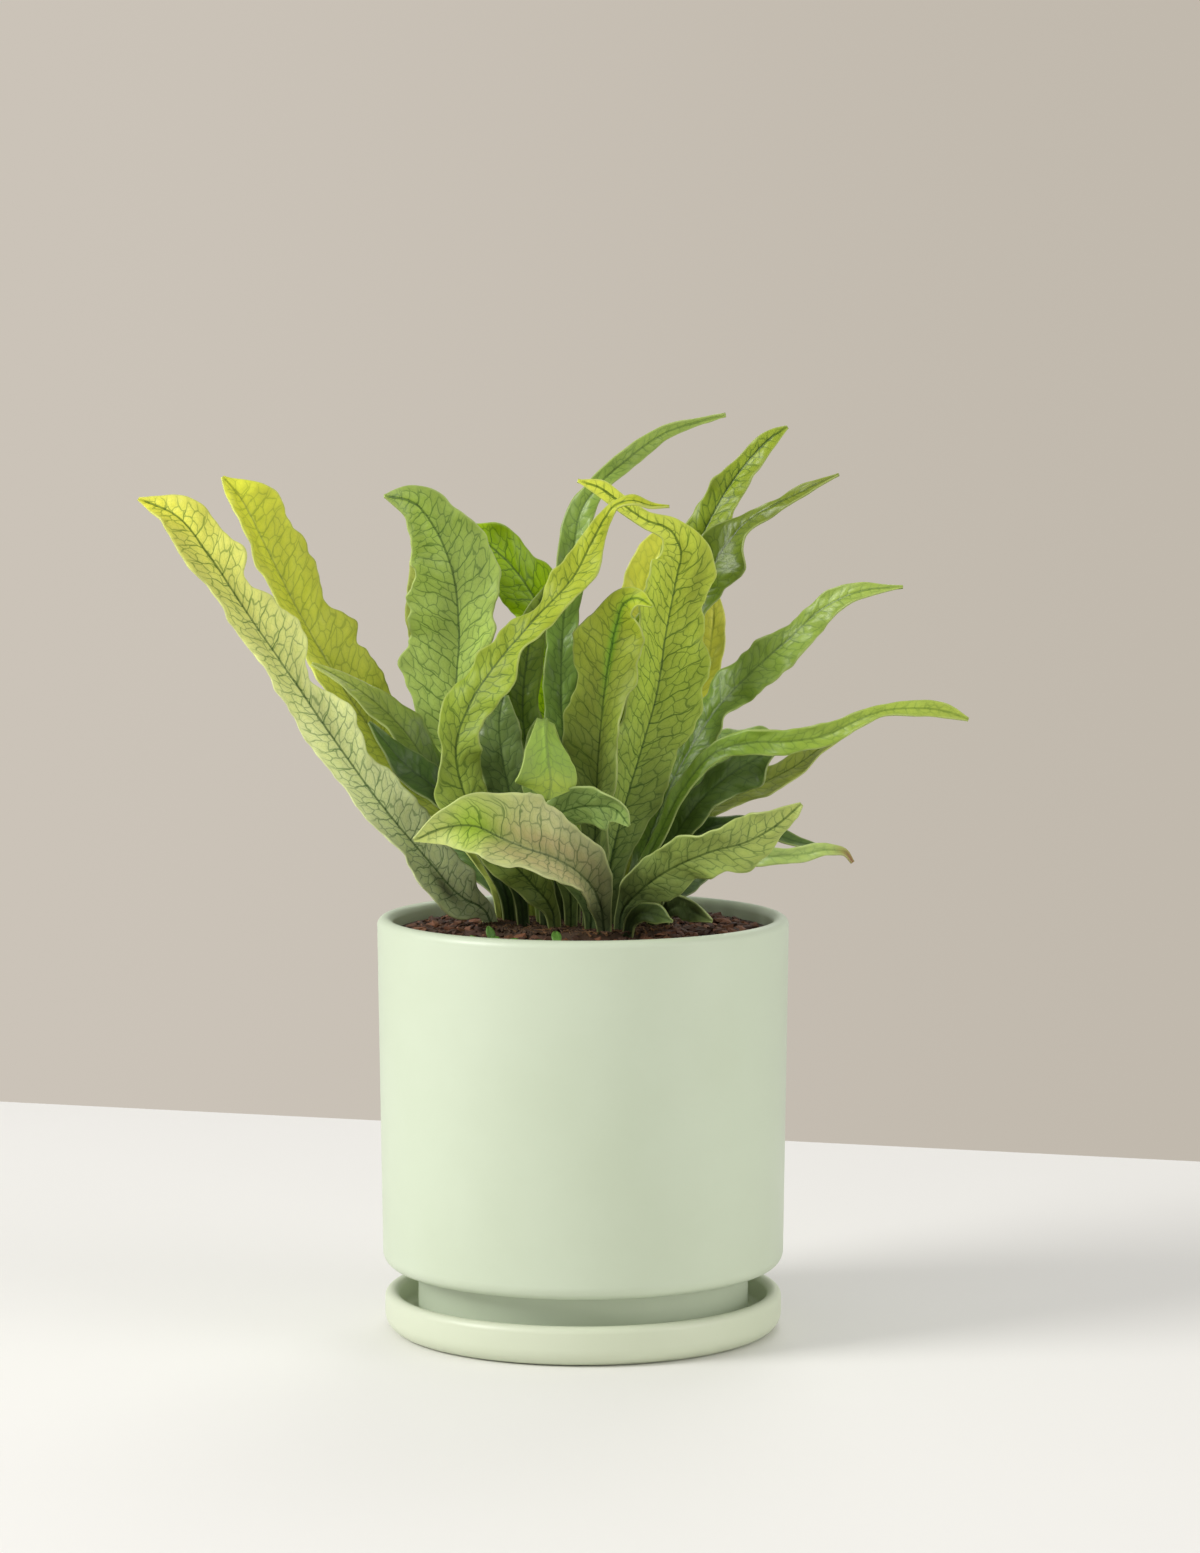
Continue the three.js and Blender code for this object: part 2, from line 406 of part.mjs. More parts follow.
// A closed blade: two faces of the same triangles, a raised midrib on the face behind, and its edges
function frondGeometry(frond, index) {
  const spine = makeSpine(frond);
  const phase = 2.4 * index;
  const columns = spine.widest >= WIDE_BLADE ? 4 : 2;
  const rows = Math.round(spine.length / ROW_STEP);
  const step = spine.length / rows;
  const grid = [];
  for (let r = 0; r <= rows; r++) {
    const line = [];
    for (let c = 0; c <= columns; c++) {
      line.push(bladePoint(spine, frond, phase, r * step, -1 + 2 * c / columns));
    }
    grid.push(line);
  }
  const positions = [];
  const faceSize = (rows + 1) * (columns + 1);
  for (const face of [1, -1]) {
    for (let r = 0; r <= rows; r++) {
      for (let c = 0; c <= columns; c++) {
        const lengthwise = grid[Math.min(r + 1, rows)][c].clone().sub(grid[Math.max(r - 1, 0)][c]);
        const crosswise = grid[r][Math.min(c + 1, columns)].clone().sub(grid[r][Math.max(c - 1, 0)]);
        const normal = lengthwise.cross(crosswise).normalize().negate();
        const rib = face < 0 && c === columns / 2 ? MIDRIB : 0;
        const p = grid[r][c].clone().addScaledVector(normal, face * (BLADE / 2 + rib));
        positions.push(p.x, p.y, p.z);
      }
    }
  }
  const indices = [];
  const id = (face, r, c) => face * faceSize + r * (columns + 1) + c;
  const quad = (a, b, c, d) => indices.push(a, b, c, a, c, d);
  for (let r = 0; r < rows; r++) {
    for (let c = 0; c < columns; c++) {
      const [p, q, s, t] = [[r, c], [r, c + 1], [r + 1, c + 1], [r + 1, c]];
      const turn = c < columns / 2;
      const corners = turn ? [p, q, s, t] : [q, s, t, p];
      quad(...corners.map(([i, j]) => id(0, i, j)));
      const [a, b, d, e] = corners.map(([i, j]) => id(1, i, j));
      indices.push(a, d, b, a, e, d);
    }
    quad(id(0, r, 0), id(0, r + 1, 0), id(1, r + 1, 0), id(1, r, 0));
    quad(id(0, r + 1, columns), id(0, r, columns), id(1, r, columns), id(1, r + 1, columns));
  }
  for (let c = 0; c < columns; c++) {
    quad(id(0, 0, c + 1), id(0, 0, c), id(1, 0, c), id(1, 0, c + 1));
    quad(id(0, rows, c), id(0, rows, c + 1), id(1, rows, c + 1), id(1, rows, c));
  }
  const geometry = new THREE.BufferGeometry();
  geometry.setAttribute('position', new THREE.Float32BufferAttribute(positions, 3));
  geometry.setIndex(indices);
  return geometry;
}

// The rhizome: a knobbly mat that the fronds rise from, sunk in the soil, with a socket for each stipe.
// Its outline and top are uneven by formula; extra widens it evenly, for the hollow that it lies in.
function rhizomeMat(extra, top) {
  const geometry = turned([
    point(0, RHIZOME_BOTTOM - extra),
    point(RHIZOME_RADIUS - 4 + extra, RHIZOME_BOTTOM - extra),
    point(RHIZOME_RADIUS + extra, RHIZOME_BOTTOM + 3),
    point(RHIZOME_RADIUS + extra, top - 3),
    point(RHIZOME_RADIUS - 4 + extra, top),
    point(RHIZOME_RADIUS * 0.6, top),
    point(RHIZOME_RADIUS * 0.25, top),
    point(0, top),
  ], RHIZOME_AROUND);
  const position = geometry.attributes.position;
  for (let i = 0; i < position.count; i++) {
    const [x, y, z] = [position.getX(i), position.getY(i), position.getZ(i)];
    const angle = Math.atan2(y, x);
    const swell = 1 + 0.035 * Math.sin(3 * angle + 0.5) + 0.02 * Math.sin(7 * angle);
    const lift = z > RHIZOME_BOTTOM + 4 ? KNOB * Math.sin(0.45 * x + 1) * Math.cos(0.5 * y) : 0;
    position.setXYZ(i, x * swell + RHIZOME_PLACE.x, y * swell + RHIZOME_PLACE.y, z + lift);
  }
  return toSolid(geometry);
}

// A plain square hole around the lowest stretch of a stipe
const SOCKET_SLACK = 1;
const SOCKET_LENGTH = 11;

function socket(frond) {
  const spine = makeSpine(frond);
  const low = spineAt(spine, 0);
  const high = spineAt(spine, SOCKET_LENGTH);
  const along = high.place.clone().sub(low.place).normalize();
  const normal = low.normal.clone().addScaledVector(along, -low.normal.dot(along)).normalize();
  const across = along.clone().cross(normal);
  const geometry = new THREE.BoxGeometry(
    ROOT_WIDTH + 2 * SOCKET_SLACK, SOCKET_LENGTH, BLADE + MIDRIB + 2 * SOCKET_SLACK);
  geometry.applyMatrix4(new THREE.Matrix4().makeBasis(across, along, normal));
  const middle = low.place.clone().addScaledVector(along, SOCKET_LENGTH / 2 - SOCKET_SLACK);
  geometry.translate(middle.x, middle.y, middle.z);
  return toSolid(geometry);
}

function rhizomeGeometry() {
  return toGeometry(FRONDS.reduce((whole, frond) => whole.subtract(socket(frond)), rhizomeMat(0, RHIZOME_TOP)));
}

// The soil: fills the pot to below the lip, with an uneven top and a hollow for the rhizome
const soilBump = (x, y) => SOIL_BUMP * Math.sin(0.31 * x + 0.4) * Math.sin(0.27 * y + 1.1);

function soilGeometry() {
  const slope = (INNER_RIM_RADIUS - INNER_LOW_RADIUS) / (RIM_TOP - WALL / 2 - SHOULDER - CORNER);
  const topRadius = INNER_LOW_RADIUS + slope * (SOIL_TOP - SHOULDER - CORNER) - GAP;
  const geometry = turned([
    point(0, INNER_FLOOR + GAP),
    point(FOOT_INNER_RADIUS - GAP, INNER_FLOOR + GAP),
    point(FOOT_INNER_RADIUS - GAP, SHOULDER + GAP),
    point(INNER_LOW_RADIUS - CORNER - GAP / 2, SHOULDER + GAP),
    point(INNER_LOW_RADIUS - GAP, SHOULDER + CORNER + GAP / 2),
    point(topRadius, SOIL_TOP),
    point(topRadius - 9, SOIL_TOP),
    point(topRadius - 18, SOIL_TOP),
    point(0, SOIL_TOP),
  ]);
  const position = geometry.attributes.position;
  for (let i = 0; i < position.count; i++) {
    const [x, y, z] = [position.getX(i), position.getY(i), position.getZ(i)];
    const inside = Math.hypot(x, y) < topRadius - 1;
    if (inside && z > SOIL_TOP - 1) position.setZ(i, z + soilBump(x, y));
  }
  return toGeometry(toSolid(geometry).subtract(rhizomeMat(GAP, RHIZOME_TOP + 5)));
}

addMesh('pot', turned(potProfile()), POT_GREEN, 0.42);
addMesh('saucer', turned(saucerProfile()), SAUCER_GREEN, 0.42);
addMesh('soil', soilGeometry(), SOIL_BROWN, 0.95);
addMesh('rhizome', rhizomeGeometry(), RHIZOME_BROWN, 0.9);
FRONDS.forEach((frond, index) => addMesh(frond.name, frondGeometry(frond, index), frond.color, 0.5));

export default group;
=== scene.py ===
import math
import random
from collections import namedtuple

import bmesh
import bpy
import numpy as np
from mathutils import Euler, Matrix, Vector


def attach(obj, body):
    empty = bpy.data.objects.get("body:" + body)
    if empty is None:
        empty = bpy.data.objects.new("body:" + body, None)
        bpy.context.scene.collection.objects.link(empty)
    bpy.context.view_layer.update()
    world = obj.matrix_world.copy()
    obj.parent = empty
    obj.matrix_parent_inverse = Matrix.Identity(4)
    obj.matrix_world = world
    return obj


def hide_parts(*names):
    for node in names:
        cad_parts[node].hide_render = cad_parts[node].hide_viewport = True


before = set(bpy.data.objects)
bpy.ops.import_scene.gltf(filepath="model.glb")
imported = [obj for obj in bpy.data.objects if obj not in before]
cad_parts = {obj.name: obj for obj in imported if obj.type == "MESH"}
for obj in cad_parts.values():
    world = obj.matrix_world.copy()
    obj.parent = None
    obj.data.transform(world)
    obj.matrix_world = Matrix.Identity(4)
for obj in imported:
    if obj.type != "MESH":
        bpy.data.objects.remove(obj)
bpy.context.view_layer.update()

MM = 0.001

# The camera, fitted to the ellipses of the rim and the saucer in the photograph
IMAGE_HEIGHT = 1553
FOCAL_PIXELS = 4581
CAMERA_PLACE = (7, -1880, 402.8)
CAMERA_PITCH = -5.26

# The blades, as in the CAD source, in millimetres
ROOT_LEVEL = 162
ROOT_WIDTH = 5
ROW_STEP = 10
SIDE_VEIN_LEAN = 0.55
QUILT = 0.6
TIP_WIDTH = 1.2
LOBE_LENGTH = 33
RUFFLE_LENGTH = 41

# The finer blades: steps along the spine, grid, thickness and the small waves of their margins
STEPS_PER_KNOT = 48
GRID_STEP = 1.0
BLADE = 0.75
MIDRIB = 0.85
MIDRIB_HALF_WIDTH = 1.5
FRILL_LENGTH = 15
FRILL = 0.28
NICK_LENGTH = 11
NICK = 0.035

Look = namedtuple("Look", "lobe ruffle fold")
WAVY = Look(0.13, 3.2, 8)
CALM = Look(0.08, 1.6, 10)
NARROW = Look(0.12, 1.0, 12)
FOLDED = Look(0.12, 2.4, 22)
CLOSED = Look(0.1, 2.4, 30)
CREASED = Look(0.1, 2.4, 48)

# Each frond: root place, colour family, look, colours at its base, middle and tip, strength of its
# dark veins, the knots of its spine as x, y, z, roll in degrees and width, and its bays. A bay is a
# cut in one margin: its side, its place along the spine, its length and its depth as a share of the
# half blade. A bay of negative depth is a lobe.
Frond = namedtuple("Frond", "name root family look tints veins knots bays", defaults=[()])
FRONDS = [
    Frond("far_left", (-37, 3), "pale", CLOSED, (0xdce8b4, 0xd8e09c, 0xd0ce3c), 1.0, [
        (-40, 1, 173, -20, 7), (-51, -5, 181, -30, 16), (-64, -15, 197, -38, 20),
        (-83, -28, 222, -34, 21), (-102, -35, 250, -20, 20), (-120, -39, 277, -38, 24),
        (-136, -42, 301, -38, 23), (-149, -42, 321, -30, 21), (-163, -38, 338, -25, 16),
        (-179, -32, 345, -25, 1.2)], [
        (1, 190, 26, 0.45), (1, 142, 36, 0.5), (1, 120, 20, -0.15), (1, 102, 22, 0.35),
        (-1, 206, 24, -0.2), (-1, 36, 56, -0.35)]),
    Frond("left_yellow", (-33, 17), "yellow", CLOSED, (0xc0cc68, 0xd2da58, 0xdade44), 0.55, [
        (-35, 18, 179, -10, 6), (-50, 22, 203, -25, 9), (-73, 24, 227, -32, 18), (-89, 22, 248, -36, 26),
        (-106, 17, 275, -38, 29), (-120, 12, 301, -38, 25), (-131, 8, 324, -38, 27),
        (-141, 5, 344, -36, 18), (-148, 5, 353, -35, 1.2)], [
        (1, 165, 24, 0.15), (1, 147, 20, -0.12), (-1, 150, 26, 0.25)]),
    Frond("left_folded", (-30, 9), "mid", CALM, (0x3c5528, 0x66823a, 0xa5b250), 0.6, [
        (-32, 5, 180, -20, 6), (-43, -1, 204, -40, 11), (-59, -6, 228, -50, 18), (-77, -7, 253, -55, 17),
        (-95, -8, 268, -60, 10), (-111, -9, 277, -70, 1.2)]),
    Frond("left_dark", (-24, -6), "dark", CALM, (0x32461e, 0x445e26, 0x52702c), 0.45, [
        (-26, -8, 181, -20, 6), (-37, -12, 203, -40, 11), (-56, -18, 223, -50, 16),
        (-74, -21, 238, -50, 14), (-87, -22, 254, -55, 1.2)]),
    Frond("left_point", (-27, 15), "dark", NARROW, (0x32461e, 0x3e5824, 0x4c6628), 0.4, [
        (-29, 15, 183, 0, 6), (-41, 16, 208, -10, 10), (-55, 16, 231, -10, 13), (-61, 14, 246, 0, 10),
        (-66, 12, 262, 5, 1.2)]),
    Frond("tall_left", (-16, 1), "deep", FOLDED, (0x90ac50, 0xacc464, 0x98b24c), 0.9, [
        (-18, 3, 179, 0, 6), (-28, 7, 199, 0, 14), (-43, 10, 228, 10, 28), (-52, 10, 259, 18, 35),
        (-51, 6, 290, 18, 38), (-54, -1, 316, -5, 35), (-61, -8, 333, -20, 28), (-69, -17, 343, -35, 18),
        (-80, -26, 346, -60, 1.2)], [
        (1, 195, 40, 0.2), (1, 126, 56, 0.3), (-1, 122, 44, -0.12), (-1, 84, 44, 0.3)]),
    Frond("yellow_left", (-19, 22), "yellow", CALM, (0x96a83c, 0xb6c452, 0xc6ce70), 0.3, [
        (-23, 24, 182, 0, 6), (-42, 34, 225, 0, 14), (-58, 36, 263, 0, 17), (-65, 32, 297, 0, 18),
        (-66, 28, 318, 0, 12), (-68, 24, 331, 0, 1.2)]),
    Frond("behind_left", (-11, 16), "mid", WAVY, (0x6c8a10, 0x94b804, 0x9cbe08), 0.9, [
        (-11, 18, 180, 0, 6), (-11, 32, 225, 0, 18), (-11, 40, 263, 0, 24), (-16, 40, 291, -15, 26),
        (-27, 36, 311, -30, 25), (-40, 32, 324, -35, 18), (-55, 28, 332, -40, 1.2)]),
    Frond("front_curl", (-11, -17), "pale", WAVY, (0x788a40, 0x889c34, 0xb0b830), 0.9, [
        (-13, -18, 177, -20, 7), (-20, -24, 187, -30, 14), (-34, -32, 203, -25, 17),
        (-47, -38, 224, -10, 19), (-51, -40, 246, 0, 19), (-44, -40, 265, 20, 19),
        (-32, -40, 282, 30, 17), (-17, -38, 299, 35, 15), (-4, -34, 313, 25, 14), (4, -30, 328, 10, 10.5),
        (9, -28, 337, 10, 6), (13, -28, 342, 40, 4.5), (20, -30, 344, 65, 6), (28, -30, 342, 70, 4),
        (35, -30, 342, 70, 1.2)], [
        (-1, 164, 22, 0.45), (-1, 143, 20, 0.25), (-1, 97, 28, 0.35), (-1, 78, 22, -0.15),
        (1, 188, 22, -0.3), (1, 133, 34, -0.3)]),
    Frond("tall_twist", (-4, 0), "deep", CALM, (0x556c2d, 0x6f8e38, 0x93aa4c), 0.6, [
        (-4, -1, 181, 0, 6), (-6, -2, 220, 0, 13), (-9, 0, 261, 0, 14), (-8, 2, 294, 0, 13),
        (-4, 5, 323, 0, 12), (-1, 6, 338, 20, 12), (6, 6, 349, 10, 8), (18, 8, 360, -20, 8.5),
        (32, 12, 370, -30, 7), (46, 16, 375, -25, 3.5), (59, 20, 378, -20, 1.2)]),
    Frond("centre", (2, -10), "pale", FOLDED, (0x6c7e50, 0x7e8e3e, 0xa6b428), 0.8, [
        (3, -12, 179, 20, 6), (5, -18, 203, 30, 15), (6, -22, 230, 38, 24), (8, -25, 257, 34, 27),
        (11, -27, 281, 12, 28), (14, -28, 295, 10, 22), (17, -31, 303, 25, 13), (22, -35, 305, 60, 8),
        (28, -39, 302, 90, 1.2)], [
        (-1, 112, 22, 0.2), (-1, 128, 20, -0.1), (1, 105, 24, 0.2)]),
    Frond("big_centre", (11, -4), "pale", FOLDED, (0x788c50, 0x9eb240, 0xd8e050), 1.0, [
        (11, -5, 176, 0, 6), (11, -8, 192, -10, 12), (16, -9, 215, -20, 22), (23, -8, 239, -24, 30),
        (30, -6, 264, -24, 34), (34, -4, 290, -24, 33), (38, -2, 311, -22, 32), (40, -3, 322, -15, 25),
        (36, -7, 331, -30, 12), (25, -12, 336, -40, 7), (15, -16, 343, -35, 7), (7, -18, 349, -25, 6.5),
        (-2, -20, 352, -20, 1.2)], [
        (1, 148, 44, 0.25), (1, 106, 24, -0.12), (1, 84, 24, 0.12)]),
    Frond("upper_right", (2, 13), "mid", FOLDED, (0x5c7420, 0x7a9018, 0x8ea030), 1.0, [
        (3, 15, 181, 0, 6), (11, 24, 226, 10, 16), (24, 30, 267, 20, 21), (37, 34, 301, 22, 21),
        (49, 34, 326, 22, 21), (59, 34, 345, 22, 18), (70, 32, 360, 20, 13), (79, 30, 369, 15, 7),
        (85, 30, 373, 0, 1.2)], [
        (-1, 202, 76, 0.4), (1, 180, 24, -0.15)]),
    Frond("right_top", (10, 6), "deep", WAVY, (0x405c10, 0x506e10, 0x727e20), 0.6, [
        (12, 9, 182, 0, 6), (22, 16, 219, 5, 12), (33, 19, 260, 10, 15), (41, 19, 291, 15, 15),
        (51, 18, 311, 25, 20), (59, 16, 324, 35, 20), (69, 14, 335, 45, 12), (81, 10, 342, 50, 8),
        (91, 8, 347, 55, 6), (105, 4, 354, 60, 1.2)], [
        (-1, 192, 44, 0.4), (1, 168, 30, -0.35)]),
    Frond("yellow_back", (9, 25), "yellow", CALM, (0xa0b038, 0xc8ce3e, 0xd0d250), 0.25, [
        (9, 28, 184, 0, 6), (12, 44, 224, 0, 14), (16, 56, 257, 0, 16), (23, 64, 291, 0, 18),
        (27, 66, 310, 0, 18), (33, 66, 322, 5, 14), (40, 64, 332, 5, 1.2)]),
    Frond("yellow_right", (17, 20), "yellow", NARROW, (0x96a63c, 0xbec442, 0xcecc54), 0.3, [
        (19, 22, 182, 0, 6), (30, 34, 217, 0, 11), (44, 44, 249, 0, 12), (51, 48, 266, 0, 12),
        (54, 48, 283, 0, 11), (55, 46, 296, 0, 8), (54, 44, 307, 0, 1.2)]),
    Frond("right_broad", (19, 0), "deep", WAVY, (0x5c7a28, 0x789634, 0x94a84c), 0.6, [
        (20, 1, 180, 10, 6), (28, 5, 205, 25, 12), (42, 8, 236, 35, 17), (54, 8, 255, 40, 20),
        (69, 4, 272, 35, 20), (85, -3, 287, 32, 18), (99, -9, 300, 35, 13), (114, -15, 307, 40, 7),
        (130, -20, 309, 50, 1.2)], [
        (-1, 150, 66, 0.4), (1, 143, 30, -0.35), (1, 112, 24, 0.2)]),
    Frond("right_long", (19, -12), "mid", NARROW, (0x6c8838, 0x7c9a34, 0x9cac48), 0.5, [
        (21, -12, 183, 30, 5), (31, -13, 206, 35, 6), (43, -16, 229, 35, 7), (55, -21, 242, 30, 8),
        (69, -26, 246, 20, 10), (84, -31, 247, 15, 10), (99, -35, 250, 20, 9), (111, -38, 256, 35, 6.5),
        (122, -40, 260, 45, 5.5), (134, -42, 261, 50, 7), (146, -44, 260, 45, 6),
        (155, -46, 257, 40, 1.2)]),
    Frond("right_olive", (20, 12), "yellow", NARROW, (0x6e823c, 0x8c9842, 0x9ca844), 0.6, [
        (23, 14, 181, 20, 6), (35, 22, 199, 35, 11), (52, 28, 213, 40, 14), (71, 30, 222, 35, 15),
        (87, 30, 230, 35, 13), (100, 28, 239, 45, 8), (110, 26, 245, 55, 1.2)], [
        (1, 92, 26, -0.3), (1, 66, 24, 0.2)]),
    Frond("right_dark", (27, 2), "dark", WAVY, (0x364e22, 0x4e6628, 0x60783a), 0.45, [
        (29, 0, 181, 20, 6), (36, -4, 201, 30, 10), (48, -7, 220, 30, 15), (60, -9, 231, 25, 17),
        (73, -12, 239, 30, 13), (81, -16, 243, 60, 1.2)], [
        (-1, 80, 50, 0.3), (1, 90, 26, -0.3)]),
    Frond("low_right", (15, -21), "pale", WAVY, (0x54643a, 0x8a9c50, 0xa4b060), 0.85, [
        (16, -24, 176, 10, 6), (23, -33, 186, 15, 15), (36, -46, 197, 15, 21), (52, -56, 205, 10, 22),
        (67, -62, 210, 10, 22), (78, -65, 217, 15, 15), (87, -68, 225, 30, 1.2)], [
        (1, 103, 28, 0.4), (1, 73, 22, 0.2)]),
    Frond("narrow_dark", (31, 10), "dark", NARROW, (0x3c5028, 0x465f2d, 0x566e34), 0.4, [
        (33, 10, 183, 40, 5), (39, 9, 197, 50, 7), (50, 7, 207, 50, 8), (63, 4, 210, 50, 8),
        (76, 0, 207, 50, 7), (88, -4, 203, 55, 5), (100, -8, 201, 60, 1.2)]),
    Frond("small_bright", (28, -7), "mid", NARROW, (0x60783a, 0x96ac5f, 0x9cb064), 0.4, [
        (31, -11, 180, 40, 5), (44, -22, 193, 50, 6), (62, -34, 199, 50, 7), (76, -40, 201, 45, 7),
        (88, -42, 202, 45, 6), (99, -44, 204, 50, 5), (106, -44, 203, 55, 2.5), (109, -44, 199, 55, 1.2)]),
    Frond("front_fold", (9, -28), "pale", CREASED, (0x647048, 0xbcbe8c, 0xb4c06c), 0.85, [
        (8, -31, 175, -10, 7), (5, -37, 186, -30, 13), (-2, -46, 195, -50, 18), (-12, -54, 202, -58, 24),
        (-22, -60, 206, -60, 28), (-33, -64, 211, -58, 31), (-43, -67, 216, -52, 26),
        (-54, -70, 216, -42, 16), (-67, -72, 211, -30, 1.2)]),
    Frond("front_wave", (3, -20), "mid", WAVY, (0x5c7042, 0x829a54, 0x96b064), 0.85, [
        (3, -22, 177, 0, 6), (-2, -26, 188, 0, 10), (-10, -31, 199, 0, 14), (-14, -35, 209, 0, 15),
        (-11, -38, 217, 0, 16), (-3, -41, 221, 0, 19), (6, -43, 222, 0, 20), (13, -45, 221, 0, 16),
        (19, -46, 214, 0, 1.2)]),
    Frond("folded_tip", (-5, -9), "mid", CALM, (0x647840, 0x84a03c, 0x8cac2c), 0.7, [
        (-5, -13, 179, 0, 6), (-7, -20, 197, 0, 14), (-11, -25, 217, 0, 19), (-15, -29, 235, 0, 20),
        (-16, -32, 249, 0, 13), (-15, -38, 256, 10, 7), (-15, -46, 250, 15, 12), (-14, -50, 241, 15, 22),
        (-13, -51, 232, 15, 26), (-14, -51, 225, 15, 1.2)]),
    Frond("grey_mid", (-15, -8), "deep", WAVY, (0x4b5c30, 0x5f743c, 0x6c8244), 0.7, [
        (-16, -9, 180, 0, 6), (-22, -12, 200, 0, 12), (-29, -16, 221, 0, 18), (-33, -18, 240, 5, 20),
        (-34, -19, 254, 15, 17), (-32, -19, 265, 25, 4)]),
    Frond("dark_mid", (-9, 8), "dark", NARROW, (0x506428, 0x6e8a30, 0x8aa036), 0.7, [
        (-9, 9, 182, 0, 6), (-18, 12, 219, 0, 12), (-25, 14, 254, 0, 14), (-23, 14, 279, 5, 13),
        (-19, 12, 297, 10, 9), (-15, 10, 308, 15, 1.2)]),
    Frond("olive_back", (-4, 27), "mid", NARROW, (0x5a6e2e, 0x8aa03c, 0x94aa42), 0.8, [
        (-6, 30, 182, 0, 6), (-13, 44, 220, 0, 12), (-17, 52, 249, 0, 14), (-16, 54, 270, 0, 13),
        (-13, 54, 285, 0, 2)]),
    Frond("soil_right", (33, -5), "deep", NARROW, (0x323e24, 0x4c5c32, 0x5f6c3e), 0.4, [
        (34, -8, 173, 30, 5), (38, -16, 178, 50, 9), (44, -28, 178, 60, 10), (52, -42, 175, 70, 1.2)]),
    Frond("soil_small", (18, -27), "mid", NARROW, (0x2d3820, 0x485c2c, 0x5a6e38), 0.4, [
        (20, -32, 174, 30, 5), (24, -38, 178, 50, 8), (30, -45, 178, 60, 8), (36, -52, 176, 70, 1.2)]),
    Frond("rear_left", (-17, 33), "deep", WAVY, (0x4c6430, 0x6c8a3c, 0x88a44a), 0.8, [
        (-19, 37, 180, 0, 6), (-26, 48, 200, 0, 15), (-37, 64, 224, 0, 23), (-50, 84, 242, 0, 23),
        (-62, 104, 250, 0, 16), (-72, 120, 248, 0, 1.2)]),
    Frond("rear_mid", (1, 37), "mid", WAVY, (0x5a7034, 0x84a048, 0xa0b452), 0.9, [
        (1, 41, 180, 0, 6), (1, 53, 204, 0, 16), (4, 73, 230, 0, 24), (10, 98, 246, 0, 23),
        (16, 122, 244, 0, 15), (20, 138, 234, 0, 1.2)]),
    Frond("rear_right", (18, 32), "deep", WAVY, (0x506830, 0x6f8e3e, 0x8ca64a), 0.8, [
        (20, 35, 178, 0, 6), (30, 46, 196, 0, 15), (45, 64, 219, 0, 22), (62, 84, 233, 0, 21),
        (80, 102, 235, 0, 14), (94, 114, 227, 0, 1.2)]),
    Frond("rear_low_left", (-30, 27), "dark", WAVY, (0x3c5226, 0x567234, 0x6a8640), 0.6, [
        (-33, 30, 175, 0, 6), (-46, 42, 190, 0, 14), (-60, 59, 205, 0, 19), (-74, 76, 212, 0, 13),
        (-84, 90, 208, 0, 1.2)]),
    Frond("rear_low_right", (30, 22), "dark", WAVY, (0x3c5226, 0x567234, 0x6a8640), 0.6, [
        (33, 24, 173, 0, 6), (43, 34, 183, 0, 13), (55, 52, 192, 0, 17), (67, 70, 194, 0, 12),
        (76, 84, 189, 0, 1.2)]),
]


def smooth_knots(knots):
    """Rows through the knots: a Hermite curve whose slopes are weighed by the chords on either side."""
    knots = np.array(knots, float)
    chords = np.linalg.norm(np.diff(knots[:, :3], axis=0), axis=1)
    rates = np.diff(knots, axis=0) / chords[:, None]
    slopes = np.vstack([rates[:1], rates[-1:]])
    if len(rates) > 1:
        before, after = chords[:-1, None], chords[1:, None]
        inner = (rates[:-1] * after + rates[1:] * before) / (before + after)
        slopes = np.vstack([rates[:1], inner, rates[-1:]])
    rows = [knots[0]]
    for i, chord in enumerate(chords):
        for t in np.arange(1, STEPS_PER_KNOT + 1) / STEPS_PER_KNOT:
            start = knots[i] * (2 * t ** 3 - 3 * t ** 2 + 1) + slopes[i] * chord * (t ** 3 - 2 * t ** 2 + t)
            end_place = knots[i + 1] * (3 * t ** 2 - 2 * t ** 3)
            end_slope = slopes[i + 1] * chord * (t ** 3 - t ** 2)
            rows.append(start + end_place + end_slope)
    return np.array(rows)


def unit(vectors):
    return vectors / np.linalg.norm(vectors, axis=-1, keepdims=True)


class Spine:
    """The line that a blade follows: places, lengths along it, and a frame carried along it."""

    def __init__(self, frond):
        root = (*frond.root, ROOT_LEVEL, frond.knots[0][3], ROOT_WIDTH)
        rows = smooth_knots([root, *frond.knots])
        self.places = rows[:, :3]
        steps = np.linalg.norm(np.diff(self.places, axis=0), axis=1)
        self.lengths = np.concatenate([[0], np.cumsum(steps)])
        self.length = self.lengths[-1]
        self.widths = np.maximum(rows[:, 4], TIP_WIDTH)
        self.widest = self.widths.max()
        facing = np.array([0.0, -1.0, 0.0])
        across, normals = [], []
        last = len(rows) - 1
        for i, roll in enumerate(np.radians(rows[:, 3])):
            along = unit(self.places[min(i + 1, last)] - self.places[max(i - 1, 0)])
            facing = unit(facing - along * facing.dot(along))
            sideways = np.cross(along, facing)
            across.append(sideways * math.cos(roll) + facing * math.sin(roll))
            normals.append(facing * math.cos(roll) - sideways * math.sin(roll))
        self.across, self.normals = np.array(across), np.array(normals)

    def read(self, channel, distance):
        """A channel of the spine, such as places or widths, at distances along it."""
        if channel.ndim == 1:
            return np.interp(distance, self.lengths, channel)
        return np.stack([np.interp(distance, self.lengths, channel[:, k]) for k in range(3)], axis=-1)


def wave(x):
    return 0.65 * np.sin(x) + 0.35 * np.sin(1.73 * x + 1.3)


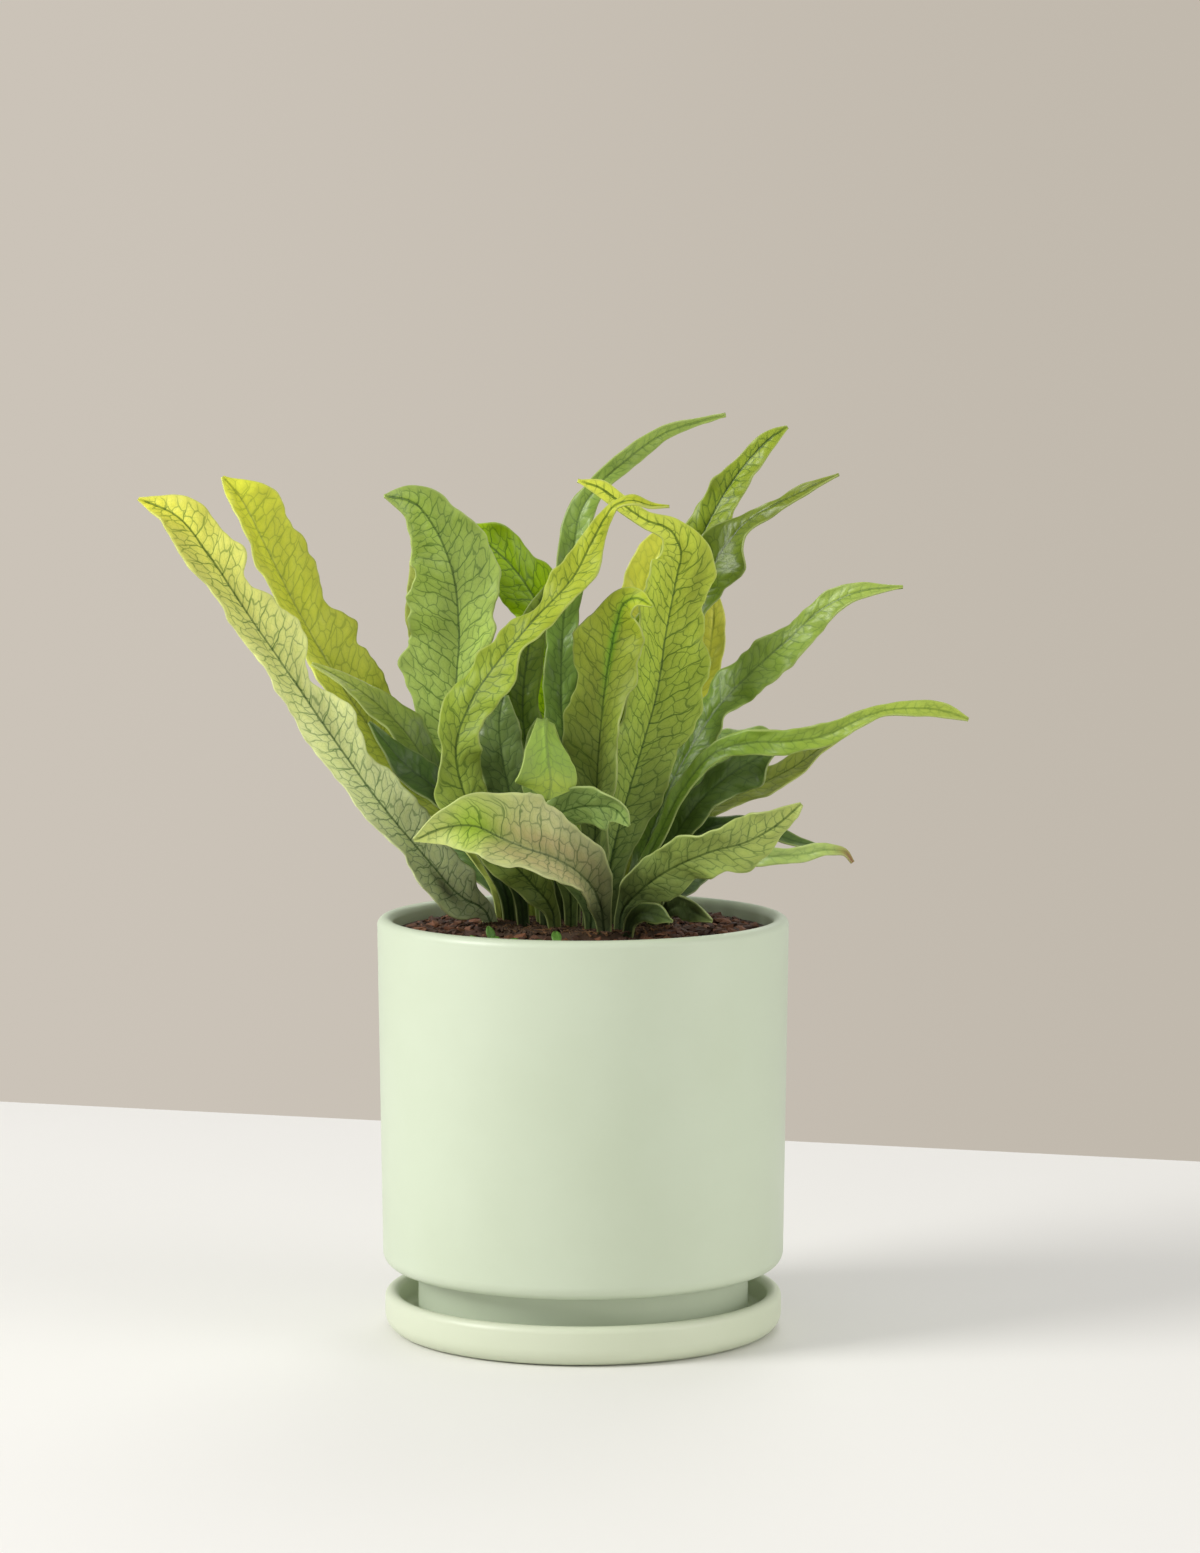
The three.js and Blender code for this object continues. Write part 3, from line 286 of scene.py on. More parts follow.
def bay_depth(bays, side, distance):
    """How far the bays cut into the blade at points along its spine, each on its own side."""
    depth = np.zeros(len(distance))
    for edge, place, length, deep in bays:
        x = (distance - place) / length
        depth += np.where((side == edge) & (np.abs(x) < 0.5), deep * np.cos(math.pi * x) ** 2, 0)
    return depth


def blade_surface(spine, frond, phase, distance, u):
    """Places on the upper face of a blade, with each point's offset and its distance from the margin."""
    look = frond.look
    spread = np.abs(u)
    side = np.sign(u)
    half_here = spine.read(spine.widths, distance) / 2
    tip_fade = np.minimum(1, (spine.length - distance) / (0.2 * spine.length))
    reach = np.clip(distance + SIDE_VEIN_LEAN * spread * half_here * tip_fade, 0, spine.length)
    width = spine.read(spine.widths, reach)
    fullness = width / spine.widest
    turn = 2 * math.pi * reach
    lobes = look.lobe * wave(turn / LOBE_LENGTH + phase + 1.9 * side)
    nicks = NICK * wave(turn / NICK_LENGTH + 2.3 * phase + 1.1 * side)
    half = width / 2 * (1 + (lobes + nicks) * fullness - bay_depth(frond.bays, side, reach))
    offset = u * half
    ruffle = look.ruffle * fullness * spread ** 2 * wave(turn / RUFFLE_LENGTH + phase * 1.7 + 2.6 * side)
    frill = FRILL * look.ruffle * fullness * spread ** 3 * wave(turn / FRILL_LENGTH + phase * 3.1 + side)
    opening = math.radians(look.fold) * np.minimum(1, 1.6 * fullness)
    fold = np.abs(offset) * np.tan(opening)
    quilt = QUILT * fullness * 4 * spread * (1 - spread) * np.cos(math.pi * distance / ROW_STEP)
    places = spine.read(spine.places, reach)
    across = unit(spine.read(spine.across, reach))
    normals = unit(spine.read(spine.normals, reach))
    rise = fold + ruffle + frill + quilt + BLADE / 2
    places = places + across * offset[:, None] + normals * rise[:, None]
    return places, offset, (1 - spread) * half


def linear(rgb):
    """A colour written as a hexadecimal number, as the linear values that shaders use."""
    parts = np.array([rgb >> 16 & 255, rgb >> 8 & 255, rgb & 255]) / 255
    return np.where(parts <= 0.04045, parts / 12.92, ((parts + 0.055) / 1.055) ** 2.4)


def rgba(rgb):
    return (*linear(rgb), 1)


def new_piece(name, bm, materials, node=None):
    """Makes an object of the bmesh, riding on the one body, with its place in its mesh."""
    mesh = bpy.data.meshes.new(name)
    bm.to_mesh(mesh)
    bm.free()
    for material in materials:
        mesh.materials.append(material)
    piece = bpy.data.objects.new(name, mesh)
    bpy.context.scene.collection.objects.link(piece)
    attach(piece, "root")
    if node:
        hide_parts(node)
    return piece


def settle(piece):
    """Applies the modifiers, so that the mesh itself is the finished shape."""
    evaluated = piece.evaluated_get(bpy.context.evaluated_depsgraph_get())
    made = bpy.data.meshes.new_from_object(evaluated, preserve_all_data_layers=True,
                                           depsgraph=bpy.context.evaluated_depsgraph_get())
    piece.modifiers.clear()
    piece.data = made
    return piece


# Node trees: small helpers that work in shader and in geometry trees alike
def add_node(tree, kind, inputs=None, **settings):
    node = tree.nodes.new(kind)
    for key, value in settings.items():
        setattr(node, key, value)
    for key, value in (inputs or {}).items():
        if isinstance(value, bpy.types.NodeSocket):
            tree.links.new(value, node.inputs[key])
        else:
            node.inputs[key].default_value = value
    return node


def maths(tree, operation, *values):
    return add_node(tree, "ShaderNodeMath", dict(enumerate(values)), operation=operation).outputs[0]


def ramp(tree, value, start, end, low=0.0, high=1.0):
    """A smooth step of value from start to end, as low to high."""
    inputs = {"Value": value, "From Min": start, "From Max": end, "To Min": low, "To Max": high}
    return add_node(tree, "ShaderNodeMapRange", inputs, interpolation_type="SMOOTHSTEP").outputs[0]


def noise(tree, place, scale, detail):
    inputs = {"Vector": place, "Scale": scale, "Detail": detail}
    return add_node(tree, "ShaderNodeTexNoise", inputs).outputs[0]


def cell_edge(tree, place, scale, randomness):
    """How far a point lies from the edge of its cell."""
    inputs = {"Vector": place, "Scale": scale, "Randomness": randomness}
    node = add_node(tree, "ShaderNodeTexVoronoi", inputs, voronoi_dimensions="2D",
                    feature="DISTANCE_TO_EDGE")
    return node.outputs["Distance"]


def mix(tree, factor, a, b, blend="MIX"):
    node = add_node(tree, "ShaderNodeMix", data_type="RGBA", blend_type=blend)
    for socket, value in ((node.inputs[0], factor), (node.inputs[6], a), (node.inputs[7], b)):
        if isinstance(value, bpy.types.NodeSocket):
            tree.links.new(value, socket)
        else:
            socket.default_value = value
    return node.outputs[2]


# The net of veins, in the blade's own millimetres: side veins that run out from the midrib, strips of
# cells between them, each strip with cells of its own, and a finer mesh inside the cells
VEIN_ROW = 9.0
CELLS_PER_ROW = 2
STRIP_KINDS = 13
VEIN_COLUMN = 4.4
VEIN_LEAN = 0.3
FINE_CELLS = 2.6
MEAN_CELL_SHIFT = -0.14
SIDE_SHIFT = 0.21
STRIP_SHIFT = 7.31
WIGGLE = 2.6
WIGGLES_PER_MM = 0.12

# How far from the middle of a vein its colour starts and is full: in cells, and in millimetres for
# the midrib. The dome of a cell is full at its reach from the cell's edge
SIDE_VEIN = (0.085, 0.035)
MESH_VEIN = (0.07, 0.025)
FINE_VEIN = (0.1, 0.03)
MIDRIB_LINE = (0.6, 0.3)
DOME_REACH = 0.42

# The relief between the veins and the groove of the midrib, in millimetres
RELIEF = 0.2
MIDRIB_GROOVE = 0.25


def vein_net(tree, place):
    """Adds the nodes of the net to a tree. Returns side veins, mesh, fine mesh, domes and midrib."""
    parts = add_node(tree, "ShaderNodeSeparateXYZ", {0: place})
    along, offset = parts.outputs[0], parts.outputs[1]
    away = maths(tree, "ABSOLUTE", offset)
    side = maths(tree, "SIGN", offset)
    wiggle = add_node(tree, "ShaderNodeTexNoise", {"Vector": place, "Scale": WIGGLES_PER_MM, "Detail": 2.6},
                      noise_dimensions="2D")
    separate = "ShaderNodeSeparateColor" if tree.type == "SHADER" else "FunctionNodeSeparateColor"
    shift = add_node(tree, separate, {0: wiggle.outputs["Color"]})
    shift_x = maths(tree, "MULTIPLY", maths(tree, "SUBTRACT", shift.outputs[0], 0.5), WIGGLE * 2)
    shift_y = maths(tree, "MULTIPLY", maths(tree, "SUBTRACT", shift.outputs[1], 0.5), WIGGLE * 2)
    row = maths(tree, "ADD", maths(tree, "MULTIPLY_ADD", away, -VEIN_LEAN, along), shift_x)
    row = maths(tree, "MULTIPLY_ADD", side, SIDE_SHIFT, maths(tree, "DIVIDE", row, VEIN_ROW))
    strip = maths(tree, "FLOOR", row)
    border = maths(tree, "MULTIPLY", maths(tree, "PINGPONG", row, 0.5), CELLS_PER_ROW)
    step = maths(tree, "MULTIPLY_ADD", maths(tree, "FRACT", row), CELLS_PER_ROW, MEAN_CELL_SHIFT)
    column = maths(tree, "DIVIDE", maths(tree, "ADD", away, shift_y), VEIN_COLUMN)
    column = maths(tree, "MULTIPLY_ADD", maths(tree, "MODULO", strip, STRIP_KINDS), STRIP_SHIFT, column)
    cell = add_node(tree, "ShaderNodeCombineXYZ", {0: step, 1: column})
    coarse = cell_edge(tree, cell.outputs[0], 1.0, 0.72)
    fine = cell_edge(tree, cell.outputs[0], FINE_CELLS, 0.9)
    side_vein = ramp(tree, border, *SIDE_VEIN)
    mesh = ramp(tree, coarse, *MESH_VEIN)
    small = ramp(tree, fine, *FINE_VEIN)
    dome = ramp(tree, maths(tree, "MINIMUM", coarse, border), 0.0, DOME_REACH)
    midrib = ramp(tree, away, *MIDRIB_LINE)
    return side_vein, mesh, small, dome, midrib


def relief_group():
    """Geometry nodes that raise a blade between its veins and sink its midrib."""
    tree = bpy.data.node_groups.new("blade relief", "GeometryNodeTree")
    tree.interface.new_socket("Geometry", in_out="INPUT", socket_type="NodeSocketGeometry")
    tree.interface.new_socket("Geometry", in_out="OUTPUT", socket_type="NodeSocketGeometry")
    start = tree.nodes.new("NodeGroupInput")
    end = tree.nodes.new("NodeGroupOutput")
    place = add_node(tree, "GeometryNodeInputNamedAttribute", {"Name": "blade_place"},
                     data_type="FLOAT_VECTOR")
    dome, midrib = vein_net(tree, place.outputs[0])[3:]
    margin = add_node(tree, "ShaderNodeSeparateXYZ", {0: place.outputs[0]}).outputs[2]
    depth = ramp(tree, margin, 0.3, 3.5, 0.0, RELIEF * MM)
    raised = maths(tree, "MULTIPLY", dome, depth)
    sunk = maths(tree, "MULTIPLY_ADD", midrib, -MIDRIB_GROOVE * MM, raised)
    normal = tree.nodes.new("GeometryNodeInputNormal")
    offset = add_node(tree, "ShaderNodeVectorMath", {0: normal.outputs[0]}, operation="SCALE")
    tree.links.new(sunk, offset.inputs["Scale"])
    inputs = {"Geometry": start.outputs[0], "Offset": offset.outputs[0]}
    moved = add_node(tree, "GeometryNodeSetPosition", inputs)
    tree.links.new(moved.outputs[0], end.inputs[0])
    return tree


# Marks on single blades: place along the spine, offset from the midrib, length, width, colour and
# strength
MARKS = {
    "front_fold": [(62, 4, 26, 2.4, 0xc8a884, 0.35), (58, -7, 30, 4, 0xccb088, 0.4),
                   (92, 0, 10, 12, 0xa8c83c, 0.8)],
    "far_left": [(34, -3, 12, 3, 0x2c2a1c, 0.8)],
    "small_bright": [(114, 0, 7, 6, 0x8a5a3c, 1.0)],
    "centre": [(128, 0, 22, 1.6, 0x74b02c, 0.8)],
    "folded_tip": [(116, 4, 16, 12, 0x84b024, 0.85), (80, -8, 22, 6, 0x93aa74, 0.6),
                   (131, 0, 5, 14, 0xb8cc30, 0.9)],
    "big_centre": [(150, 8, 16, 3, 0x3e4a20, 0.35)],
}

# Painted shade: blades are darkened towards the crown of the plant, where the fronds and the soil shade
# them: by how much, up to what height over the soil and out to what distance from its middle
PAINTED_CROWN_SHADE = 0.62
PAINTED_SHADE_HEIGHT = 34
PAINTED_SHADE_RADIUS = 62


def blade_tint(frond, along, distance, offset, places):
    """The leaf colour at points of a blade: base to middle to tip, with uneven patches and marks, and
    painted shade near the crown.
    """
    base, middle, tip = (linear(tint) for tint in frond.tints)
    keys = np.array([0.0, 0.12, 0.5, 1.0])
    colors = np.array([base * 0.7, base, middle, tip])
    tint = np.stack([np.interp(along, keys, colors[:, k]) for k in range(3)], axis=1)
    patches = 1 + 0.07 * np.sin(9 * along + 0.3 * offset) + 0.05 * np.sin(23 * along - 0.5 * offset)
    tint = tint * patches[:, None]
    for place, aside, length, width, rgb, strength in MARKS.get(frond.name, ()):
        near = np.exp(-((distance - place) / length) ** 2 - ((offset - aside) / width) ** 2)
        tint += (linear(rgb) - tint) * strength * near[:, None]
    # Painted shade, darkest low down and near the middle of the plant
    inner = np.clip(1 - np.hypot(places[:, 0], places[:, 1]) / PAINTED_SHADE_RADIUS, 0, 1) ** 0.5
    low = np.clip(1 - (places[:, 2] - SOIL_TOP) / PAINTED_SHADE_HEIGHT, 0, 1)
    return tint * (1 - PAINTED_CROWN_SHADE * inner * low)[:, None]


# From one blade to the next, the net of veins is taken this much further along, in millimetres, and
# the waves of the margin start this much later, in radians
SEED_STEP = 61
PHASE_STEP = 2.4


def make_blade(frond, index, relief, materials):
    """One frond: a fine grid laid along its spine, raised between veins, with a rib on its back."""
    spine = Spine(frond)
    phase = PHASE_STEP * index
    columns = max(8, 2 * round(spine.widest / GRID_STEP / 2))
    rows = round(spine.length / GRID_STEP)
    bm = bmesh.new()
    bmesh.ops.create_grid(bm, x_segments=columns, y_segments=rows, size=1)
    place_layer = bm.verts.layers.float_vector.new("blade_place")
    tint_layer = bm.verts.layers.float_color.new("blade_tint")
    weights = bm.verts.layers.deform.verify()
    flat = np.array([vert.co for vert in bm.verts])
    u = flat[:, 0]
    along = (flat[:, 1] + 1) / 2
    distance = along * spine.length
    places, offset, margin = blade_surface(spine, frond, phase, distance, u)
    tint = blade_tint(frond, along, distance, offset, places)
    rib = np.clip(1 - np.abs(offset) / MIDRIB_HALF_WIDTH, 0, 1) ** 0.7 * np.minimum(1, 3.0 * (1 - along))
    thickness = (BLADE + MIDRIB * rib) / (BLADE + MIDRIB)
    for i, vert in enumerate(bm.verts):
        vert.co = places[i] * MM
        vert[place_layer] = (distance[i] + SEED_STEP * index, offset[i], margin[i])
        vert[tint_layer] = (*tint[i], frond.veins)
        vert[weights][0] = thickness[i]
    for face in bm.faces:
        face.smooth = True
    piece = new_piece("blade_" + frond.name, bm, materials, "frond_" + frond.name)
    piece.vertex_groups.new(name="thickness")
    modifier = piece.modifiers.new("relief", "NODES")
    modifier.node_group = relief
    shell = piece.modifiers.new("shell", "SOLIDIFY")
    shell.thickness = (BLADE + MIDRIB) * MM
    shell.offset = -1
    shell.vertex_group = "thickness"
    shell.material_offset = 1
    shell.material_offset_rim = 2
    return settle(piece)


# What the parts of the net make of a blade's own colour: all multiply it but the margin's. The dome tint is
# partly the cells' own paler green and partly painted light, lighter at the raised middle of each cell
DOME_TINT_AND_LIGHT = (1.15, 1.12, 1.0, 1)
MOTTLE_TINT = (0.86, 0.92, 0.76, 1)
FINE_TINT = (0.55, 0.66, 0.46, 1)
VEIN_TINT = (0.24, 0.36, 0.24, 1)
MIDRIB_TINT = (0.26, 0.36, 0.24, 1)
MARGIN_TINT = (0.5, 0.58, 0.2, 1)


def colour_group():
    """The colour of a blade from its place and tint: net of veins, pale cells with painted light on their
    domes, and pale margin.
    """
    tree = bpy.data.node_groups.new("blade colour", "ShaderNodeTree")
    for name, kind in (("Place", "NodeSocketVector"), ("Tint", "NodeSocketColor"),
                       ("Veins", "NodeSocketFloat")):
        tree.interface.new_socket(name, in_out="INPUT", socket_type=kind)
    for name, kind in (("Colour", "NodeSocketColor"), ("Roughness", "NodeSocketFloat"),
                       ("Height", "NodeSocketFloat")):
        tree.interface.new_socket(name, in_out="OUTPUT", socket_type=kind)
    start = tree.nodes.new("NodeGroupInput")
    end = tree.nodes.new("NodeGroupOutput")
    place, tint, strength = start.outputs[0], start.outputs[1], start.outputs[2]
    side_vein, mesh, small, dome, midrib = vein_net(tree, place)
    margin = add_node(tree, "ShaderNodeSeparateXYZ", {0: place}).outputs[2]
    mottle = noise(tree, place, 0.35, 3.0)
    # Cells paler at their raised middles: their own paler green, with painted light on the dome
    cell = mix(tree, maths(tree, "MULTIPLY", dome, 0.6), tint, DOME_TINT_AND_LIGHT, "MULTIPLY")
    cell = mix(tree, ramp(tree, mottle, 0.35, 0.7, 0.0, 0.3), cell, MOTTLE_TINT, "MULTIPLY")
    fade = ramp(tree, margin, 0.3, 2.5, 0.25, 1.0)
    strength = maths(tree, "MULTIPLY", strength, fade)
    fine = maths(tree, "MULTIPLY", small, maths(tree, "MULTIPLY", strength, 0.3))
    cell = mix(tree, fine, cell, FINE_TINT, "MULTIPLY")
    side_vein = maths(tree, "MULTIPLY", side_vein, ramp(tree, margin, 1.0, 7.0, 0.45, 1.0))
    net = maths(tree, "MAXIMUM", maths(tree, "MULTIPLY", mesh, 0.72), side_vein)
    depth = maths(tree, "MULTIPLY", strength, 0.9)
    cell = mix(tree, maths(tree, "MULTIPLY", net, depth), cell, VEIN_TINT, "MULTIPLY")
    cell = mix(tree, maths(tree, "MULTIPLY", midrib, depth), cell, MIDRIB_TINT, "MULTIPLY")
    cell = mix(tree, ramp(tree, margin, 0.7, 0.15, 0.0, 0.3), cell, MARGIN_TINT)
    tree.links.new(cell, end.inputs[0])
    rough = maths(tree, "MULTIPLY_ADD", mottle, 0.25, 0.26)
    tree.links.new(rough, end.inputs[1])
    height = maths(tree, "MULTIPLY_ADD", dome, 0.6, maths(tree, "MULTIPLY", small, -0.15))
    tree.links.new(maths(tree, "MULTIPLY", height, ramp(tree, margin, 0.5, 4.0)), end.inputs[2])
    return tree


def blade_material(name, group, wash, gloss, shine):
    """The skin of one face of a blade. A wash shifts its colour to that of the other face."""
    material, tree, skin = new_material(name)
    place = add_node(tree, "ShaderNodeAttribute", attribute_name="blade_place").outputs["Vector"]
    tint = add_node(tree, "ShaderNodeAttribute", attribute_name="blade_tint")
    look = add_node(tree, "ShaderNodeGroup", node_tree=group)
    for socket, value in zip(look.inputs, (place, tint.outputs["Color"], tint.outputs["Alpha"])):
        tree.links.new(value, socket)
    colour = look.outputs["Colour"]
    rough = maths(tree, "SUBTRACT", look.outputs["Roughness"], gloss)
    if wash:
        colour = mix(tree, 0.45, colour, rgba(wash))
    tree.links.new(colour, skin.inputs["Base Color"])
    tree.links.new(rough, skin.inputs["Roughness"])
    bump = add_node(tree, "ShaderNodeBump", {"Strength": 0.35, "Distance": 0.3 * MM,
                                             "Height": look.outputs["Height"]})
    tree.links.new(bump.outputs[0], skin.inputs["Normal"])
    skin.inputs["Specular IOR Level"].default_value = shine
    return material


def new_material(name):
    material = bpy.data.materials.new(name)
    material.use_nodes = True
    return material, material.node_tree, material.node_tree.nodes["Principled BSDF"]


# Each family of blades: the gloss and the shine of the face it shows, those of its other face, and the
# colour that washes the other face
FAMILIES = {
    "pale": ((-0.1, 0.22), (0.08, 0.35), 0x5f8c2c),
    "mid": ((0.02, 0.3), (-0.12, 0.22), 0x96a860),
    "deep": ((0.02, 0.35), (-0.1, 0.22), 0x8ea55c),
    "dark": ((0.04, 0.35), (-0.1, 0.22), 0x748c4c),
    "yellow": ((0.03, 0.3), (-0.1, 0.22), 0xb8c46a),
}


def margin_material():
    """The thin pale edge of a blade."""
    material, tree, skin = new_material("blade margin")
    tint = add_node(tree, "ShaderNodeAttribute", attribute_name="blade_tint").outputs["Color"]
    tree.links.new(mix(tree, 0.4, tint, MARGIN_TINT), skin.inputs["Base Color"])
    skin.inputs["Roughness"].default_value = 0.45
    return material


# The pot and the saucer, turned from the same profiles as the CAD solids, with finer rounds
RIM_RADIUS = 85
RIM_TOP = 172
WALL = 6.5
BODY_FOOT_RADIUS = 83.1
BODY_BOTTOM = 27
CORNER = 6
FOOT_RADIUS = 68.5
FOOT_WALL = 8
POT_FLOOR = 8
DRAIN_RADIUS = 6
SAUCER_RADIUS = 82.3
SAUCER_HEIGHT = 16.5
SAUCER_WALL = 6
SAUCER_FLOOR = 5
SAUCER_BASE_RADIUS = 75
GAP = 0.3
TURN_STEPS = 180


def arc(radius, height, size, start, end, steps=10):
    angles = np.radians(np.linspace(start, end, steps + 1))
    return [(radius + size * math.cos(a), height + size * math.sin(a)) for a in angles]


def turned(name, profile, material, node):
    """Spins a closed profile of radius and height about the Z axis."""
    bm = bmesh.new()
    verts = [bm.verts.new((radius * MM, 0, height * MM)) for radius, height in profile]
    edges = [bm.edges.new((a, b)) for a, b in zip(verts, verts[1:])]
    bmesh.ops.spin(bm, geom=verts + edges, axis=(0, 0, 1), cent=(0, 0, 0), angle=math.tau,
                   steps=TURN_STEPS, use_merge=True)
    bmesh.ops.remove_doubles(bm, verts=bm.verts, dist=0.001 * MM)
    bmesh.ops.recalc_face_normals(bm, faces=bm.faces)
    for face in bm.faces:
        face.smooth = True
    return new_piece(name, bm, [material], node)


def make_pot(material):
    foot_bottom = SAUCER_FLOOR + GAP
    inner_low = BODY_FOOT_RADIUS - WALL
    inner_floor = foot_bottom + POT_FLOOR
    shoulder = BODY_BOTTOM + WALL
    foot_inner = FOOT_RADIUS - FOOT_WALL
    lip = WALL / 2
    turned("pot_body", [
        (DRAIN_RADIUS, foot_bottom), (FOOT_RADIUS - 1.5, foot_bottom),
        *arc(FOOT_RADIUS - 1.5, foot_bottom + 1.5, 1.5, -90, 0, 4),
        (FOOT_RADIUS, BODY_BOTTOM - 2),
        *arc(FOOT_RADIUS + 2, BODY_BOTTOM - 2, 2, 180, 90, 4),
        *arc(BODY_FOOT_RADIUS - CORNER, BODY_BOTTOM + CORNER, CORNER, -90, 0),
        *arc(RIM_RADIUS - lip, RIM_TOP - lip, lip, 0, 180, 14),
        (inner_low, shoulder + CORNER), (inner_low - CORNER, shoulder), (foot_inner, shoulder),
        (foot_inner, inner_floor), (DRAIN_RADIUS, inner_floor), (DRAIN_RADIUS, foot_bottom),
    ], material, "pot")


def make_saucer(material):
    lip = SAUCER_WALL / 2
    edge = SAUCER_RADIUS - SAUCER_BASE_RADIUS
    inner = SAUCER_RADIUS - SAUCER_WALL
    turned("saucer_tray", [
        (0, 0), *arc(SAUCER_BASE_RADIUS, edge, edge, -90, 0),
        *arc(SAUCER_RADIUS - lip, SAUCER_HEIGHT - lip, lip, 0, 180, 14),
        *arc(inner - 3, SAUCER_FLOOR + 3, 3, 0, -90, 5), (0, SAUCER_FLOOR),
    ], material, "saucer")


def glaze_material(name, rgb, low_rgb):
    """Pale satin glaze: a little uneven in tone, with faint pits, and paler where it ran thin."""
    material, tree, skin = new_material(name)
    place = add_node(tree, "ShaderNodeTexCoord").outputs["Object"]
    cloud = noise(tree, place, 18.0, 4.0)
    speck = add_node(tree, "ShaderNodeTexVoronoi", {"Vector": place, "Scale": 420.0}).outputs["Distance"]
    pits = ramp(tree, speck, 0.16, 0.08)
    colour = mix(tree, ramp(tree, cloud, 0.35, 0.7), rgba(rgb), rgba(low_rgb))
    colour = mix(tree, maths(tree, "MULTIPLY", pits, 0.06), colour, (0.5, 0.55, 0.42, 1))
    tree.links.new(colour, skin.inputs["Base Color"])
    tree.links.new(maths(tree, "MULTIPLY_ADD", cloud, 0.16, 0.34), skin.inputs["Roughness"])
    height = maths(tree, "MULTIPLY_ADD", pits, -0.4, maths(tree, "MULTIPLY", cloud, 0.6))
    bump = add_node(tree, "ShaderNodeBump", {"Strength": 0.25, "Distance": 0.15 * MM, "Height": height})
    tree.links.new(bump.outputs[0], skin.inputs["Normal"])
    return material


# Soil: the CAD solid keeps its place under a layer of loose bark crumbs
SOIL_TOP = 165.5
SOIL_RADIUS = 76.5
CRUMBS = 2600
CRUMB_KINDS = 6
CRUMB_SIZES = (0.7, 0.9, 1.1, 1.5, 2.2)


def crumb_kinds(rng):
    """A few bark crumbs: small rough balls, later stretched into chips."""
    kinds = []
    for k in range(CRUMB_KINDS):
        bm = bmesh.new()
        bmesh.ops.create_icosphere(bm, subdivisions=1, radius=1)
        for vert in bm.verts:
            vert.co *= rng.uniform(0.65, 1.15)
        mesh = bpy.data.meshes.new(f"crumb kind {k}")
        bm.to_mesh(mesh)
        bm.free()
        kinds.append(mesh)
    return kinds


def scatter(name, kinds, places, material):
    """Joins copies of small meshes into one piece. A place is kind, matrix and tone."""
    bm = bmesh.new()
    tone_layer = bm.verts.layers.float.new("tone")
    for kind, matrix, tone in places:
        start = len(bm.verts)
        bm.from_mesh(kinds[kind])
        bm.verts.ensure_lookup_table()
        for vert in bm.verts[start:]:
            vert.co = matrix @ vert.co
            vert[tone_layer] = tone
    for face in bm.faces:
        face.smooth = False
    return new_piece(name, bm, [material])


def make_crumbs(material):
    rng = random.Random(11)
    kinds = crumb_kinds(rng)
    places = []
    while len(places) < CRUMBS:
        radius = SOIL_RADIUS * math.sqrt(rng.random())
        angle = rng.uniform(0, math.tau)
        size = rng.choice(CRUMB_SIZES) * rng.uniform(0.8, 1.3)
        stretch = (size * rng.uniform(1.1, 2.2), size * rng.uniform(0.7, 1.2), size * rng.uniform(0.4, 0.8))
        if radius + size * 2 > SOIL_RADIUS:
            continue
        spot = Vector((radius * math.cos(angle), radius * math.sin(angle), SOIL_TOP + size * 0.45)) * MM
        turn = Euler((rng.uniform(-0.5, 0.5), rng.uniform(-0.5, 0.5), rng.uniform(0, math.tau)))
        matrix = Matrix.LocRotScale(spot, turn, Vector(stretch) * MM)
        places.append((rng.randrange(CRUMB_KINDS), matrix, rng.random()))
    return scatter("bark_crumbs", kinds, places, material)


def bark_material(name, dark, light):
    """Moist bark: dark red-brown, with lighter crumbs here and there."""
    material, tree, skin = new_material(name)
    place = add_node(tree, "ShaderNodeTexCoord").outputs["Object"]
    tone = add_node(tree, "ShaderNodeAttribute", attribute_name="tone").outputs["Fac"]
    grain = noise(tree, place, 900.0, 4.0)
    worn = maths(tree, "MULTIPLY", grain, 0.35)
    blend = maths(tree, "MULTIPLY_ADD", ramp(tree, tone, 0.45, 1.0), 0.8, worn)
    colour = mix(tree, blend, rgba(dark), rgba(light))
    tree.links.new(colour, skin.inputs["Base Color"])
    tree.links.new(maths(tree, "MULTIPLY_ADD", grain, 0.3, 0.6), skin.inputs["Roughness"])
    bump = add_node(tree, "ShaderNodeBump", {"Strength": 0.6, "Distance": 0.4 * MM, "Height": grain})
    tree.links.new(bump.outputs[0], skin.inputs["Normal"])
    return material


# Rhizome: the CAD mat is clad in the papery scales of its creeping stems
RHIZOME_TOP = 168.6
RHIZOME_RADIUS = 41
RHIZOME_PLACE = (-2, 4)
SCALES = 1500
SCALE_KINDS = 3


def make_scales(material):
    rng = random.Random(5)
    kinds = []
    for k in range(SCALE_KINDS):
        bm = bmesh.new()
        bmesh.ops.create_cone(bm, cap_ends=True, segments=5, radius1=0.5, radius2=0.02, depth=2.2 + 0.5 * k)
        mesh = bpy.data.meshes.new(f"scale kind {k}")
        bm.to_mesh(mesh)
        bm.free()
        kinds.append(mesh)
    places = []
    for _ in range(SCALES):
        radius = RHIZOME_RADIUS * math.sqrt(rng.random())
        angle = rng.uniform(0, math.tau)
        x = RHIZOME_PLACE[0] + radius * math.cos(angle)
        y = RHIZOME_PLACE[1] + radius * math.sin(angle)
        spot = Vector((x, y, RHIZOME_TOP + 0.4)) * MM
        turn = Euler((rng.uniform(0.9, 1.5), 0, rng.uniform(0, math.tau)))
        size = rng.uniform(0.7, 1.5)
        kind = rng.randrange(SCALE_KINDS)
        places.append((kind, Matrix.LocRotScale(spot, turn, Vector((size,) * 3) * MM), rng.random()))
    return scatter("rhizome_scales", kinds, places, material)


